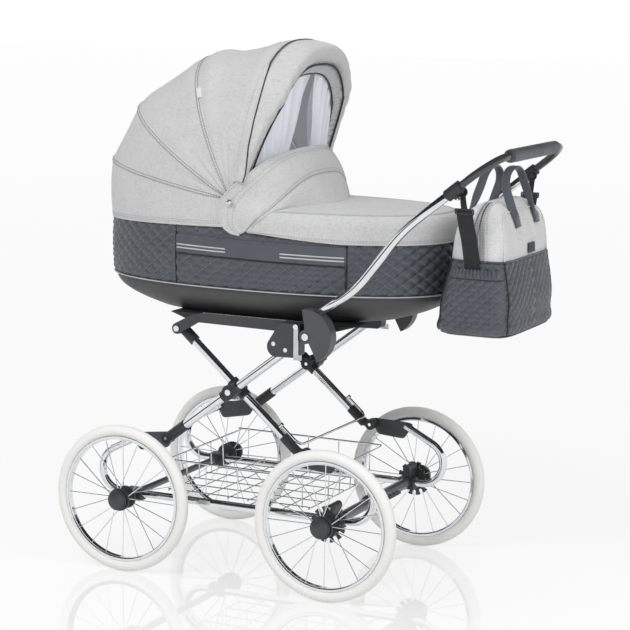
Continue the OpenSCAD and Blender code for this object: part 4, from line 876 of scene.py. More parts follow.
def flap_grid(rows, half_cols):
    """The flap's outer face: full above its seam, drawn in along it, with a small dart at each side."""
    top, seam, foot = (flap_line(t, half_cols) for t in (FLAP_TOP, FLAP_SEAM, FLAP_FOOT))
    s = np.linspace(0, 1, rows)[:, None, None]
    middle = 0.42
    grid = (foot * (s - middle) * (s - 1) / middle + seam * s * (s - 1) / (middle * (middle - 1))
            + top * s * (s - middle) / (1 - middle))
    col = np.linspace(0, 1, 2 * half_cols - 1)[None, :, None]
    arch = np.sin(np.pi * col)
    puff = np.sin(np.pi * np.clip((s - middle) / (1 - middle), 0, 1)) * arch ** 0.6
    tuck = np.exp(-((s - middle) / 0.035) ** 2) * arch ** 0.3
    end = np.minimum(col, 1 - col)
    dart = np.exp(-((s - 0.80 - 0.6 * end) / 0.03) ** 2) * np.exp(-((end - 0.1) / 0.045) ** 2)
    inward = np.array([0, 1.0, 0]) * np.where(col < 0.5, 2.2, -2.2)
    return grid + puff * np.array([4.0, 0, 3.0]) - tuck * np.array([1.6, 0, 1.0]) + dart * inward


def build_flap():
    """The flap that stands up at the apron's end, with its sewing, bound edge and two studs."""
    grid = flap_grid(40, 90)
    centre = (-30, 0, 880)
    flap = cloth_shell("flap_cloth", grid, 3.4, FINISH["melange_cloth"], "bassinet", centre, lining=LINING)
    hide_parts("apron_flap")
    declare_sheet(grid)
    n = outward(grid, centre)
    stitch_rows("flap_stitching", [grid[r] + n[r] * 0.4 for r in (36, 34, 19)], THREAD, "bassinet")
    stitch_rows("flap_seam_stitching", [grid[17] + n[17] * 0.7], SEAM_THREAD, "bassinet", 6.0, 1.0, 1.2)
    sweep("flap_edge_binding", grid[-1] + n[-1] * -1.2, 5.0, FINISH["melange_cloth"], "bassinet", 5.0, 10)
    for word, side in SIDES:
        ring = [(0.2, 5.4), (4.6, 5.2), (5.8, 4.4), (6.2, 3.0), (6.0, 2.0), (5.2, 0.6), (5.6, -0.4), (5.0, -1.5)]
        angle = np.linspace(0, 2 * np.pi, 24, endpoint=False)
        points = np.array([[(-4 + r * math.cos(k), side * (230.2 + d), 886 + r * math.sin(k)) for k in angle]
                           for r, d in ring])
        stud = make("flap_stud_" + word, points, quads(len(ring), 24, False, True), FINISH["chrome"])
        mend_normals(stud)
        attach(stud, "bassinet")


# ---- hood

def hood_values(a):
    """Reach of the hood's arch at seam angle a, with each panel's sag, and its squareness."""
    a = np.asarray(a, float)
    order = np.argsort(SEAM_ANGLES)
    xs = np.array(SEAM_ANGLES)[order]
    r = np.interp(a, xs, np.array(SEAM_RADII)[order])
    n = np.interp(a, xs, np.array(SEAM_POWERS)[order])
    sag = np.zeros_like(a)
    for i in range(3):
        u = np.clip((SEAM_ANGLES[i] - a) / (SEAM_ANGLES[i] - SEAM_ANGLES[i + 1]), 0, 1)
        sag = sag + GORE_SAGS[i] * np.sin(np.pi * u)
    return r - sag, 2 / n


def hood_point(a, t, inset=0.0):
    """A point of the hood's cloth at seam angle a, t degrees round its arch, inset inside its outer face."""
    a, t = np.broadcast_arrays(np.asarray(a, float), np.asarray(t, float))
    radius, e = hood_values(a)
    t = np.radians(t)
    r = (radius - inset) * power(np.sin(t), e)
    return np.stack([PIVOT_X + r * np.cos(np.radians(a)), -(HOOD_W - inset) * power(np.cos(t), e),
                     PIVOT_Z + r * np.sin(np.radians(a))], axis=-1)


def turn_with(obj):
    """Bakes the panel's placement into its mesh; the panel k lies between seam k and seam k + 1."""
    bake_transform(obj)


def build_hood():
    """Three cloth panels, the tapes and sewing on their seams, and the blank tag in the last seam."""
    t = np.concatenate([np.linspace(1.0, 20, 40), np.linspace(21, 159, 110), np.linspace(160, 179.0, 40)])
    for k in range(3):
        a = np.linspace(SEAM_ANGLES[k] - 0.15, SEAM_ANGLES[k + 1] + (0.15 if k < 2 else 0.4), 26)[:, None]
        u = np.linspace(0, 1, 26)[:, None]
        pull = np.exp(-(np.minimum(t, 180 - t) / 15.0) ** 2)[None]
        folds = 2.2 * np.sin(np.pi * u) * np.sin(2 * np.pi * u * (2 + k) + 0.6) * pull
        soft = 1.6 * np.sin(np.pi * u) * np.sin(np.radians(t) * 5 + k * 1.7)[None] * np.sin(np.radians(t))[None]
        high = np.sin(np.radians(t))[None] ** 2
        bulge = ((0, 0), (3.0, 3.0), (9.0, 4.0))[k]
        full = bulge[0] * np.exp(-((u - 0.16) / 0.11) ** 2) + bulge[1] * np.exp(-((u - 0.86) / 0.1) ** 2)
        grid = hood_point(a, t[None], folds + soft + 0.6 - full * high)
        panel = cloth_shell(f"hood_panel_{k + 1}", grid, 2.8, FINISH["melange_cloth"], None, HOOD_PIN, lining=LINING)
        turn_with(panel)
        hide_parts(f"gore_{k + 1}")
        declare_sheet(grid)

    steps = np.concatenate([np.linspace(2.5, 20, 40), np.linspace(21, 159, 120), np.linspace(160, 177.5, 40)])
    section = ((-6.5, -1.2), (-6, 0.5), (-2, 1.0), (-0.8, 0.5), (0.8, 0.5), (2, 1.0), (6, 0.5), (6.5, -1.2))
    for k, (angle, body) in enumerate(zip(SEAM_ANGLES[:3], ("bassinet", "bow_2", "bow_3"))):
        r = np.maximum((hood_values(angle)[0]) * power(np.sin(np.radians(steps)), hood_values(angle)[1]), 70)

        def beside(w, out):
            return hood_point(angle + np.degrees(w / r), steps, -out)

        grid = np.array([beside(w, out) for w, out in section])
        tape = cloth_shell(f"hood_seam_{k + 1}", grid, 1.2, FINISH["melange_cloth"], body, HOOD_PIN)
        declare_sheet(grid)
        rows = [beside(-3.0, 1.2), beside(3.0, 1.2)]
        stitch_rows(f"hood_seam_stitching_{k + 1}", rows, SEAM_THREAD, body, 6.0, 1.0, 1.5)

    tag_t = np.linspace(43, 49.2, 8)
    tag = np.array([hood_point(SEAM_ANGLES[2] - w / 5.6, tag_t, -2.2 - 1.5 * math.sin(w / 17 * 3.1))
                    for w in np.linspace(0, 17, 8)])
    blank = cloth_shell("seam_tag", tag, 0.8, WHITE_TAG, "bow_3", HOOD_PIN)
    declare_sheet(tag)


def build_skirt():
    """The cloth between the bassinet's head end and the hood's first seam, with its hem and sewing."""
    t = np.radians(np.linspace(2.5, 177.5, 170))
    e = 2 / OUTLINE_POWER
    hem_out, hem_z = 7.0, 829.7
    bottom = np.column_stack([OUTLINE_X - (OUTLINE_A + hem_out) * power(np.sin(t), e),
                              -(OUTLINE_B + hem_out) * power(np.cos(t), e), hem_z - 12 * np.sin(t)])
    top = hood_point(171.2, np.degrees(t), 0.0)
    u = np.linspace(0, 1, 26)[:, None]
    grid = bottom[None] + (top - bottom)[None] * u[..., None]
    grid[:, :, 0] -= 6 * np.sin(t)[None] * np.sin(np.pi * u)
    wave = np.sin(26 * np.linspace(0, 1, 170))[None] * np.sin(np.pi * u) * 0.9
    grid[:, :, 0] -= wave * np.sin(t)[None]
    centre = (0, 0, 850)
    skirt = cloth_shell("hood_skirt_cloth", grid, 3.0, FINISH["melange_cloth"], "bassinet", centre, lining=LINING)
    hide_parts("hood_skirt")
    declare_sheet(grid)
    n = outward(grid, centre)
    tall = np.linalg.norm(top - bottom, axis=1)
    lines = []
    for height in (6.0, 11.0):
        share = np.clip(height / np.maximum(tall, 1), 0, 0.9)
        lines.append(bottom + (top - bottom) * share[:, None] + n[2] * 0.5 - np.column_stack(
            [6 * np.sin(t) * np.sin(np.pi * share), 0 * t, 0 * t]))
    stitch_rows("skirt_stitching", lines, THREAD, "bassinet")
    sweep("skirt_hem_roll", bottom - n[0] * 1.2, 4.2, FINISH["melange_cloth"], "bassinet", 4.2, 10)


def rim_place(t, r, along, width=ROLL_W):
    """A point in the rim's own plane: t degrees round its arch at reach r, along in front of the plane."""
    e = 2 / RIM_POWER
    t = np.radians(np.asarray(t, float))
    r, along = np.broadcast_to(r, t.shape), np.broadcast_to(along, t.shape)
    place = HOOD_PIN + RIM_OUT * (r * power(np.sin(t), e))[..., None] + RIM_ALONG * along[..., None]
    place[..., 1] = -width * power(np.cos(t), e)
    return place


def roll_sizes(t):
    """Half length, half thickness and fullness of the padded roll, t degrees round its arch."""
    fat = np.minimum(1, 0.3 + 1.1 * np.sin(np.radians(t)))
    return 33 * fat, 23 * fat * (0.55 + 0.45 * np.sin(np.radians(t))), fat


def roll_form():
    """The roll before filling: squarer at the back, where it is sewn to the hood's front edge."""
    rows, cols = 130, 36
    t = np.linspace(3, 177, rows)
    half_l, half_t, _ = roll_sizes(t)
    arch = rim_place(t, ROLL_REACH, 0.0)
    ahead = unit(np.gradient(arch, axis=0))
    normal = np.cross(RIM_ALONG, ahead)
    normal = normal * np.sign(np.sum(normal * (arch - HOOD_PIN), axis=1, keepdims=True))
    edge = 14.7 + 4.3 * np.sin(np.radians(t)) ** 2
    k = np.linspace(0, 2 * np.pi, cols, endpoint=False)
    behind = np.clip(-np.sin(k), 0, 1)[None]
    behind = behind ** 2 * (3 - 2 * behind)
    square = np.where(np.sin(k) < 0, 0.3, 0.62)
    proud = np.maximum(half_t * 1.04, edge + 2.0)[:, None] * (1 - behind) + (edge - 1.0)[:, None] * behind
    rise = np.where(np.cos(k)[None] > 0, proud, (half_t * 1.04)[:, None]) * power(np.cos(k), square)[None]
    long = np.where(np.sin(k)[None] < 0, half_l[:, None] + 8.3, 1.07 * half_l[:, None])
    reach = (half_l + ROLL_BACK)[:, None] + long * power(np.sin(k), square)[None]
    rings = arch[:, None] + normal[:, None] * rise[..., None] + RIM_ALONG * reach[..., None]
    faces = [tuple(f) for f in quads(rows, cols, False, True)]
    faces += [tuple(range(cols)), tuple(range((rows - 1) * cols, rows * cols))]
    obj = make("padded_roll", rings, faces, FINISH["melange_cloth"])
    mend_normals(obj)
    return obj


def build_rim_piping(roll):
    """Dark piping along the hood's front edge; low on each side it runs forward over the roll to its mouth."""
    t = np.concatenate([np.linspace(3.5, 20, 60), np.linspace(20.5, 159.5, 140), np.linspace(160, 176.5, 60)])
    seam = hood_point(RIM_ANGLE, t, -1.4)
    rise = np.minimum(t, 180 - t)
    share = np.interp(rise, [4, 6, 14.4, 24, 36, 55], [0.98, 0.95, 0.54, 0.34, 0.2, 0.0])
    normal = unit(np.cross(RIM_ALONG, np.gradient(rim_place(t, ROLL_REACH, 0.0), axis=0)))
    normal = normal * np.sign(np.sum(normal * (seam - HOOD_PIN), axis=1, keepdims=True))
    over = seam + RIM_ALONG * (share * 1.95 * roll_sizes(t)[0])[:, None]
    skin = BVHTree.FromObject(roll, bpy.context.evaluated_depsgraph_get())

    def height_of_roll(place, i):
        hit = skin.ray_cast(Vector((place + normal[i] * 30) * MM), Vector(-normal[i]), 0.06)[0]
        return None if hit is None else float((np.array(hit) / MM - place) @ normal[i])

    for i in np.flatnonzero(share > 0.01):
        high = height_of_roll(over[i], i)
        if high is not None:
            over[i] = over[i] + normal[i] * (high + 1.2) * min(1.0, share[i] / 0.1)
    sweep("hood_rim_piping", even(over, 300), 2.8, BLACK_TAPE, "hood_rim", 2.8, 10)

    behind = hood_point(80.6, t, -1.3)
    for word, low in (("near", t < 55), ("far", t > 125)):
        rows = []
        for s in np.linspace(0, 1, 11):
            row = behind * (1 - s) + over * s
            for i in np.flatnonzero(low):
                high = height_of_roll(row[i], i)
                if high is not None and s > 0.2:
                    row[i] = row[i] + normal[i] * max(0.0, high + 0.9)
            rows.append(row[low])
        grid = np.array(rows)
        lap = cloth_shell("hood_lap_" + word, grid, 1.0, FINISH["melange_cloth"], "hood_rim", HOOD_PIN)
        declare_sheet(grid)


def build_rim():
    """The stuffed roll round the hood's mouth, dented where it bends, and the gathered band inside it."""
    roll = filled_pad(roll_form(), FINISH["melange_cloth"], 0.005, 0.006, 3.0, 0.002)
    co = coordinates(roll) / MM
    rel = co - HOOD_PIN
    out = rel @ RIM_OUT
    t = np.degrees(np.arctan2(np.maximum(out, 1) / ROLL_REACH, -co[:, 1] / ROLL_W))
    centre = rim_place(np.clip(t, 3, 177), ROLL_REACH, 33.0)
    front = np.clip((rel @ RIM_ALONG - 12) / 30, 0, 1)
    dent = np.zeros(len(co))
    creases = ((30, 2.5), (37, 4.0), (43, 4.5), (49, 3.5),
               (128, 3.5), (134, 4.5), (141, 5.0), (148, 4.0), (155, 2.5))
    for at, deep in creases:
        dent += deep * np.exp(-((t - at) / 1.5) ** 2)
    inward = unit(centre - co)
    towards = np.clip(-np.einsum("ij,ij->i", inward, np.broadcast_to(RIM_OUT, co.shape)), -0.2, 1)
    co = co + inward * (dent * front * (0.45 + 0.55 * np.clip(-towards, 0, 1)))[:, None]
    roll.data.vertices.foreach_set("co", (co * MM).astype(np.float32).ravel())
    roll.data.update()
    fine = roll.modifiers.new("finer", "SUBSURF")
    fine.levels = fine.render_levels = 1
    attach(roll, "hood_rim")
    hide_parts("rim_roll")

    build_rim_piping(roll)
    build_gathered_band()


def build_gathered_band():
    """The frilled band in the hood's mouth between two dark tapes."""
    t = np.linspace(7, 173, 420)
    half_l, half_t, fat = roll_sizes(t)
    ruffle = np.sin(np.linspace(0, 2 * np.pi * 58, 420)) + 0.4 * np.sin(np.linspace(0, 2 * np.pi * 93, 420) + 1)
    rows = []
    for k in np.linspace(0, 1, 9):
        r = ROLL_REACH - half_t * 0.98 - 30 * k * fat
        along = ROLL_BACK + half_l * 1.6 - 20 * k * fat + ruffle * 2.2 * math.sin(math.pi * (0.1 + 0.8 * k))
        rows.append(rim_place(t, r, along, ROLL_W - 11 - 12 * k))
    grid = np.array(rows)
    centre = HOOD_PIN + RIM_ALONG * -300
    band = cloth_shell("gathered_band", grid, 1.2, FINISH["melange_cloth"], "hood_rim", centre)
    declare_sheet(grid)
    edge = rim_place(t, ROLL_REACH - half_t * 0.98 - 3.5, 3.8 + half_l * 1.6, ROLL_W - 13)
    sweep("band_outer_tape", even(edge, 240), 6.0, BLACK_TAPE, "hood_rim", 4.4, 8)
    sweep("band_inner_tape", even(rows[-1], 240), 4.0, BLACK_TAPE, "hood_rim", 3.4, 8)


def build_curtains():
    """Sheer curtains hung from the band inside the roll; each falls straight, then is drawn to its side."""
    for name, side, first, foot in (("curtain_near", -1, 92.0, 40.0), ("curtain_far", 1, 85.0, 88.0)):
        u = np.linspace(0, 1, 190)[None]
        v = np.linspace(0, 1, 50)[:, None]
        t = first + (19 - first) * u
        half_l, half_t, fat = roll_sizes(t)
        e = 2 / RIM_POWER
        top_r = (ROLL_REACH - half_t * 0.98 - 28 * fat) * power(np.sin(np.radians(t)), e)
        top_y = 185.0 * power(np.cos(np.radians(t)), e)
        low_y = foot + (188 - foot) * u ** 1.15
        w = v ** 1.7
        y = top_y * (1 - w) + low_y * w
        r = top_r * (1 - v) + 82 * v
        deep = 0.08 + 0.92 * np.sin(np.pi * np.clip(0.02 + 0.83 * v, 0, 1))
        wander = u + 0.03 * np.sin(3.1 * v + side)
        gather = 10.0 * np.sin(2 * np.pi * 5.2 * wander + side) + 3.2 * np.sin(2 * np.pi * 9.3 * wander + 1.4 * v)
        gather = gather * deep
        along = ROLL_BACK + half_l * 1.6 - 25 * fat + gather - 6 * np.sin(np.pi * v)
        grid = HOOD_PIN + RIM_OUT * r[..., None] + RIM_ALONG * along[..., None]
        grid[..., 1] = side * y
        # The map's first value runs in step with the folds; the sheer cloth reads it for its painted fold shading.
        folds = np.stack([5.2 * wander + side / (2 * math.pi) + 0 * u, v + 0 * u], axis=-1)
        curtain = cloth_shell(name, grid, 0.6, FINISH["sheer_cloth"], "hood_rim", (-300, 0, 1000), maps=folds)
        if side < 0:
            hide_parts("curtains")
        declare_sheet(grid)
        sweep(name + "_hem", even(grid[:, 0], 80), 2.4, FINISH["sheer_cloth"], "hood_rim", 2.0, 6)


def build_mattress():
    """The pad on the tub's floor, stuffed from its own solid."""
    pad = bpy.data.objects.new("mattress_pad", nodes["mattress"].data.copy())
    scene.collection.objects.link(pad)
    filled_pad(pad, FINISH["mattress_cloth"], 0.008, 0.006, 2.5, 0.004, 14)
    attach(pad, "bassinet")
    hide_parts("mattress")


# ---- frame leather and bright trim

def strap_piece(name, inner, outer, side):
    """A leather strap from a frame eye to a spring's end, thick and round-edged, sewn near its edge."""
    way = 1 if outer[0] > inner[0] else -1
    outline = np.array([
        (inner[0] - way * 11, inner[1] + 8), (inner[0] + way * 10, inner[1] - 28), (outer[0] - way * 12, outer[1] - 28),
        (outer[0] + way * 11, outer[1] + 9), (outer[0], outer[1] + 13), (inner[0], inner[1] + 11)], float)
    ring = []
    for i, p in enumerate(outline):
        before, after = outline[i - 1], outline[(i + 1) % len(outline)]
        k = min(7.0, 0.35 * np.linalg.norm(before - p), 0.35 * np.linalg.norm(after - p))
        a, b = p + unit(before - p) * k, p + unit(after - p) * k
        for u in np.linspace(0, 1, 5):
            ring.append((1 - u) ** 2 * a + 2 * u * (1 - u) * p + u ** 2 * b)
    count = 96
    ring = even(np.array(ring + ring[:1]), count + 1)[:-1]
    middle = ring.mean(axis=0)

    def line(inset, y):
        flat = middle + (ring - middle) * inset
        return np.column_stack([flat[:, 0], np.full(count, side * (STRAP_Y + y)), flat[:, 1]])

    section = ((0.985, -3.2), (1.0, -2.2), (1.0, 2.2), (0.985, 3.2), (0.95, 3.9), (0.86, 4.0), (0.6, 3.8), (0.02, 3.9))
    rows = [line(inset, y) for inset, y in section]
    back = [r.copy() for r in rows[4:]]
    for r in back:
        r[:, 1] = side * 2 * STRAP_Y - r[:, 1]
    grid = np.array(back[::-1] + rows)
    strap = make(name, grid, quads(len(grid), count, False, True), FINISH["strap_leather"])
    mend_normals(strap)
    sewing = []
    for y in (4.15, -4.15):
        loop = line(0.86, y)
        sewing.append(np.concatenate([loop, loop[:1]]))
    thread = stitch_rows(name + "_stitching", sewing, DARK_THREAD, None, 3.6, 1.8, 0.8)
    return strap, thread


def build_straps():
    """Four straps; the rear pair gets meshes of its own."""
    for word, side in SIDES:
        strap, thread = strap_piece("front_strap_" + word, (-165, 323), (-262, 309), side)
        for piece in (strap, thread):
            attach(piece, "chassis")
        if side < 0:
            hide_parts("front_straps")
        strap, thread = strap_piece("rear_strap_" + word, (172, 314), (262, 309), side)
        for piece in (strap, thread):
            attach(piece, "chassis")
            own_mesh(piece)
        if side < 0:
            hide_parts("rear_straps")


def build_grip():
    """The leather grip with its stitched seam and rings, and a dark ring at each end."""
    low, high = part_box("handle_grip")
    x, z = (low[0] + high[0]) / 2 / MM, (low[2] + high[2]) / 2 / MM
    table = [(-150, 21.5), (-149, 25.5), (-146, 28.4), (-140, 29.6), (-132, 28.8), (-126, 29.2), (-60, 29.6), (0, 29.8),
             (60, 29.6), (126, 29.2), (132, 28.8), (140, 29.6), (146, 28.4), (149, 25.5), (150, 21.5)]
    rows = smooth_table(table, 120)
    path = np.column_stack([np.full(120, x), rows[:, 0], np.full(120, z)])
    grip = sweep("stitched_grip", path, rows[:, 1], FINISH["grip_leather"], "handle_bar", rows[:, 1], 32)
    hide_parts("handle_grip")
    angle = np.linspace(0, 2 * np.pi, 60)
    rings = [np.column_stack([x + 14.65 * np.cos(angle), np.full(60, y), z + 14.65 * np.sin(angle)])
             for y in (-131, 131)]
    seam, side = [], math.radians(-40)
    for dx in (-2.6, 2.6):
        k = side + dx / 14.8
        ys = np.linspace(-128, 128, 60)
        seam.append(np.column_stack([np.full(60, x + 14.9 * math.cos(k)), ys, np.full(60, z + 14.9 * math.sin(k))]))
    stitch_rows("grip_stitching", rings + seam, DARK_THREAD, "handle_bar", 4.0, 2.0, 0.9)
    wide = np.array([20, 21.6, 22, 22, 21.6, 20])
    for word, side in SIDES:
        y = side * 151.6
        ring = np.column_stack([np.full(2, x), [y - 0.9, y + 0.9], np.full(2, z)])
        sweep("grip_ring_" + word, even(ring, 6), wide, FINISH["bar_paint"], "handle_bar", wide, 32)


def rounded_path(points, bend, count=14):
    """A path through corner points with each inner corner rounded."""
    points = np.asarray(points, float)
    path = [points[0]]
    for a, b, c in zip(points[:-2], points[1:-1], points[2:]):
        for k in np.linspace(0, 1, count):
            p, q = b + unit(a - b) * bend, b + unit(c - b) * bend
            path.append((1 - k) ** 2 * p + 2 * k * (1 - k) * b + k ** 2 * q)
    return np.array(path + [points[-1]])


def build_handle_tubes():
    """The two open handle tubes, bent twice on their way from the fold discs up to the bar."""
    tube_y, bend = 236.0, 42.0
    corners = np.array([(206, 640), (312.4, 707.8), (425.7, 850.2), (553.3, 951.7)])
    angle = np.linspace(0, 2 * np.pi, 28, endpoint=False)
    for word, side in SIDES:
        path = rounded_path(np.column_stack([corners[:, 0], np.full(4, side * tube_y), corners[:, 1]]), bend)
        across, lift = frames_along(path, False, (0, side, 0))
        wall = [path[:, None] + r * (across[:, None] * np.cos(angle)[:, None] + lift[:, None] * np.sin(angle)[:, None])
                for r in (9.5, 8.3)]
        grid = np.concatenate([wall[0], wall[1][::-1]])
        tube = make("bent_tube_" + word, grid, quads(len(grid), 28, True, True), FINISH["chrome"])
        mend_normals(tube)
        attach(tube, "handle")
        if side < 0:
            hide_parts("handle_tubes")


def build_rail_trim():
    """A bright strip along the top of each rail."""
    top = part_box("top_rails")[1][2] / MM
    places = ((-82, 0.1), (-40, 0.6), (40, 0.6), (120, 0.6), (182, 0.6))
    for word, side in SIDES:
        path = curve_through([(x, side * 206.6, top + lift) for x, lift in places], 40)
        sweep("rail_strip_" + word, path, 8.0, FINISH["chrome"], "top_rails", 2.6, 12, up=(0, 0, 1), square=0.7)


# ---- bag

# The bag from its base to its top: share of its height, of its depth and of its width, and its shift in x
BAG_ROWS = [
    (0, 0.9, 0.94, 0), (0.03, 1, 1, 0), (0.14, 1.0, 1.0, 1), (0.25, 1, 1, 3), (0.4, 0.9, 1.0, 6),
    (0.55, 0.775, 0.995, 8), (0.68, 0.735, 0.985, 8.6), (0.78, 0.69, 0.965, 9), (0.85, 0.64, 0.92, 9),
    (0.9, 0.575, 0.86, 9), (0.94, 0.49, 0.78, 9), (0.97, 0.4, 0.7, 9), (1, 0.22, 0.56, 9)
]
BAG_SOFT = smooth_table(BAG_ROWS, 220)


def bag_section(u):
    """Shares of the bag's depth and width, and its shift, at height share u."""
    return [np.interp(u, BAG_SOFT[:, 0], BAG_SOFT[:, k]) for k in (1, 2, 3)]


def bag_ring(u, t, out=0.0):
    """Points round the bag at height share u; t runs once round from the +X side."""
    fx, fy, shift = bag_section(u)
    x = BAG_X + shift + (BAG_D * fx + out) * power(np.cos(t), 2 / 6)
    y = (BAG_W * fy + out) * power(np.sin(t), 2 / 6)
    return np.stack([x, y, np.full(np.shape(x), BAG_Z + u * BAG_H)], axis=-1)


def bag_angles(count):
    """Angles that step evenly round the bag, and the way round it."""
    t = np.linspace(-np.pi, np.pi, 8001)
    s = lengths(bag_ring(0.3, t))
    return np.interp(np.linspace(0, s[-1], count, endpoint=False), s, t), s[-1]


def build_bag_trim():
    """Piping and zips of the bag's upper part."""
    places = ((0.58, 1), (0.64, 1), (0.7, 1), (0.76, 1), (0.82, 1), (0.87, 1),
              (0.905, 0.93), (0.925, 0.8), (0.935, 0.5), (0.938, 0.2))
    for word, way in (("front", 1), ("rear", -1)):
        turn = (lambda k: k) if way > 0 else (lambda k: np.pi - k)
        near = np.array([bag_ring(u, np.array(turn(-BAG_CORNER * k)), 2.4) for u, k in places])
        path = curve_through(np.concatenate([near, near[::-1] * (1, -1, 1)]), 120)
        sweep(f"bag_panel_piping_{word}", path, 3.4, FINISH["bag_cloth"], "bag", 3.4, 8)

    for i, (dx, finish) in enumerate(((-16.0, THREAD), (4.0, FINISH["lever_steel"]), (24.0, FINISH["cord_silver"]))):
        line = []
        for u in np.linspace(BAG_SPLIT + 0.01, 0.985, 40):
            fx, fy, shift = bag_section(u)
            x = dx * (1 - 0.62 * (u - BAG_SPLIT) / 0.41)
            share = np.clip(x / (BAG_D * fx), -0.98, 0.98)
            y = BAG_W * fy * (1 - abs(share) ** 6) ** (1 / 6) + 2.2
            line.append((BAG_X + shift + x, -y, BAG_Z + u * BAG_H))
        near = np.array(line)
        last = near[-1]
        over = np.column_stack([np.full(30, last[0]), np.linspace(last[1], -last[1], 30), np.full(30, last[2] + 4.0)])
        arc = even(np.concatenate([near, over[2:-2], near[::-1] * (1, -1, 1)]), 150)
        sweep(f"bag_zip_{i + 1}", arc, 3.6, finish, "bag", 3.0, 8)
        stitch_rows(f"bag_zip_stitching_{i + 1}", [arc + (5.0, 0, 1.0), arc + (-5.0, 0, 1.0)], THREAD, "bag")


# Half of a carrying loop: y, z, distance from the bag's middle and the way its flat side faces
LOOP_ROWS = [
    (-60, 852, 62, (1, 0, 0)), (-61, 872, 57, (1, 0, 0)), (-62, 892, 47, (0.8, -0.6, 0)),
    (-62, 915, 38, (0.25, -1, 0)), (-58, 942, 29, (0, -1, 0.15)), (-47, 962, 26, (0, -0.8, 0.6)),
    (-28, 974, 25, (0, -0.4, 1)), (0, 978, 25, (0, 0, 1))
]


def build_carry_loops():
    """Two padded carrying loops, wider where they are sewn on."""
    for word, way in (("rear", -1), ("front", 1)):
        near = np.array([(BAG_X + 9 + way * x, y, z) for y, z, x, _ in LOOP_ROWS], float)
        lean = np.array([up for *_, up in LOOP_ROWS], float) * (way, 1, 1)
        points = np.concatenate([near, near[-2::-1] * (1, -1, 1)])
        path = curve_through(points, 110)
        lifts = np.concatenate([lean, lean[-2::-1] * (1, -1, 1)])
        where = lengths(points)
        at = np.linspace(0, where[-1], 110)
        lifts = unit(np.stack([np.interp(at, where, lifts[:, k]) for k in range(3)], axis=1))
        wide = np.interp(np.minimum(at, where[-1] - at), [0, 22, 34], [27, 27, 20])
        sweep("carry_loop_" + word, path, wide, SMOOTH_BAND, "bag", 7.0, 16, up=lifts, square=0.7)
        across, lift = frames_along(path, False, lifts)
        rows = [path + across * (k * (wide / 2 - 3.0))[:, None] + lift * 3.7 for k in (-1, 1)]
        stitch_rows(f"carry_loop_{word}_stitching", rows, DARK_THREAD, "bag")


def build_hanging_straps():
    """Webbing from the bag's ends up to the hooks: a band, a buckle with its bar, a tab and an eye."""
    for word, side in SIDES:
        pts = [(BAG_X, side * 151, BAG_Z + 0.44 * BAG_H), (BAG_X + 1, side * 157.5, BAG_Z + 0.56 * BAG_H),
               (BAG_X + 1, side * 178, 832), (BAG_X, side * 197, 872), (BAG_X, side * 207.2, 899)]
        flat = {"up": (0, side, 0.3), "square": 0.5}
        sweep("bag_webbing_" + word, curve_through(pts, 40), 38.0, WEBBING, "bag", 2.6, 12, **flat)
        ring = np.array([(-21, -5), (21, -5), (21, 5), (-21, 5)], float)
        edge = np.concatenate([even(np.array([ring[k], ring[(k + 1) % 4]]), 9)[:-1] for k in range(4)])
        ring_path = np.column_stack([BAG_X + edge[:, 0], side * (206.0 + edge[:, 1] * 0.3), 896 + edge[:, 1]])
        sweep("strap_ring_" + word, ring_path, 3.4, FINISH["hub_plastic"], "bag", 3.4, 10, closed=True)
        bar = np.array([(BAG_X - 9, side * 207.5, 901), (BAG_X + 9, side * 207.5, 901)], float)
        sweep("strap_ring_bar_" + word, even(bar, 8), 3.8, FINISH["hub_plastic"], "bag", 3.8, 10)
        pts = [(BAG_X, side * 207, 901), (BAG_X, side * 213, 915), (BAG_X, side * 217, 929), (BAG_X, side * 218.6, 938)]
        sweep("strap_tab_" + word, curve_through(pts, 24), np.linspace(15, 13, 24), WEBBING, "bag", 3.4, 12, **flat)
        turn = np.linspace(0, 2 * np.pi, 33)[:-1]
        eye = np.column_stack([BAG_X + 8.0 * np.cos(turn), np.full(32, side * 218.8), 939.7 + 8.0 * np.sin(turn)])
        sweep("strap_eye_" + word, eye, 5.6, WEBBING, "bag", 6.6, 10, closed=True)


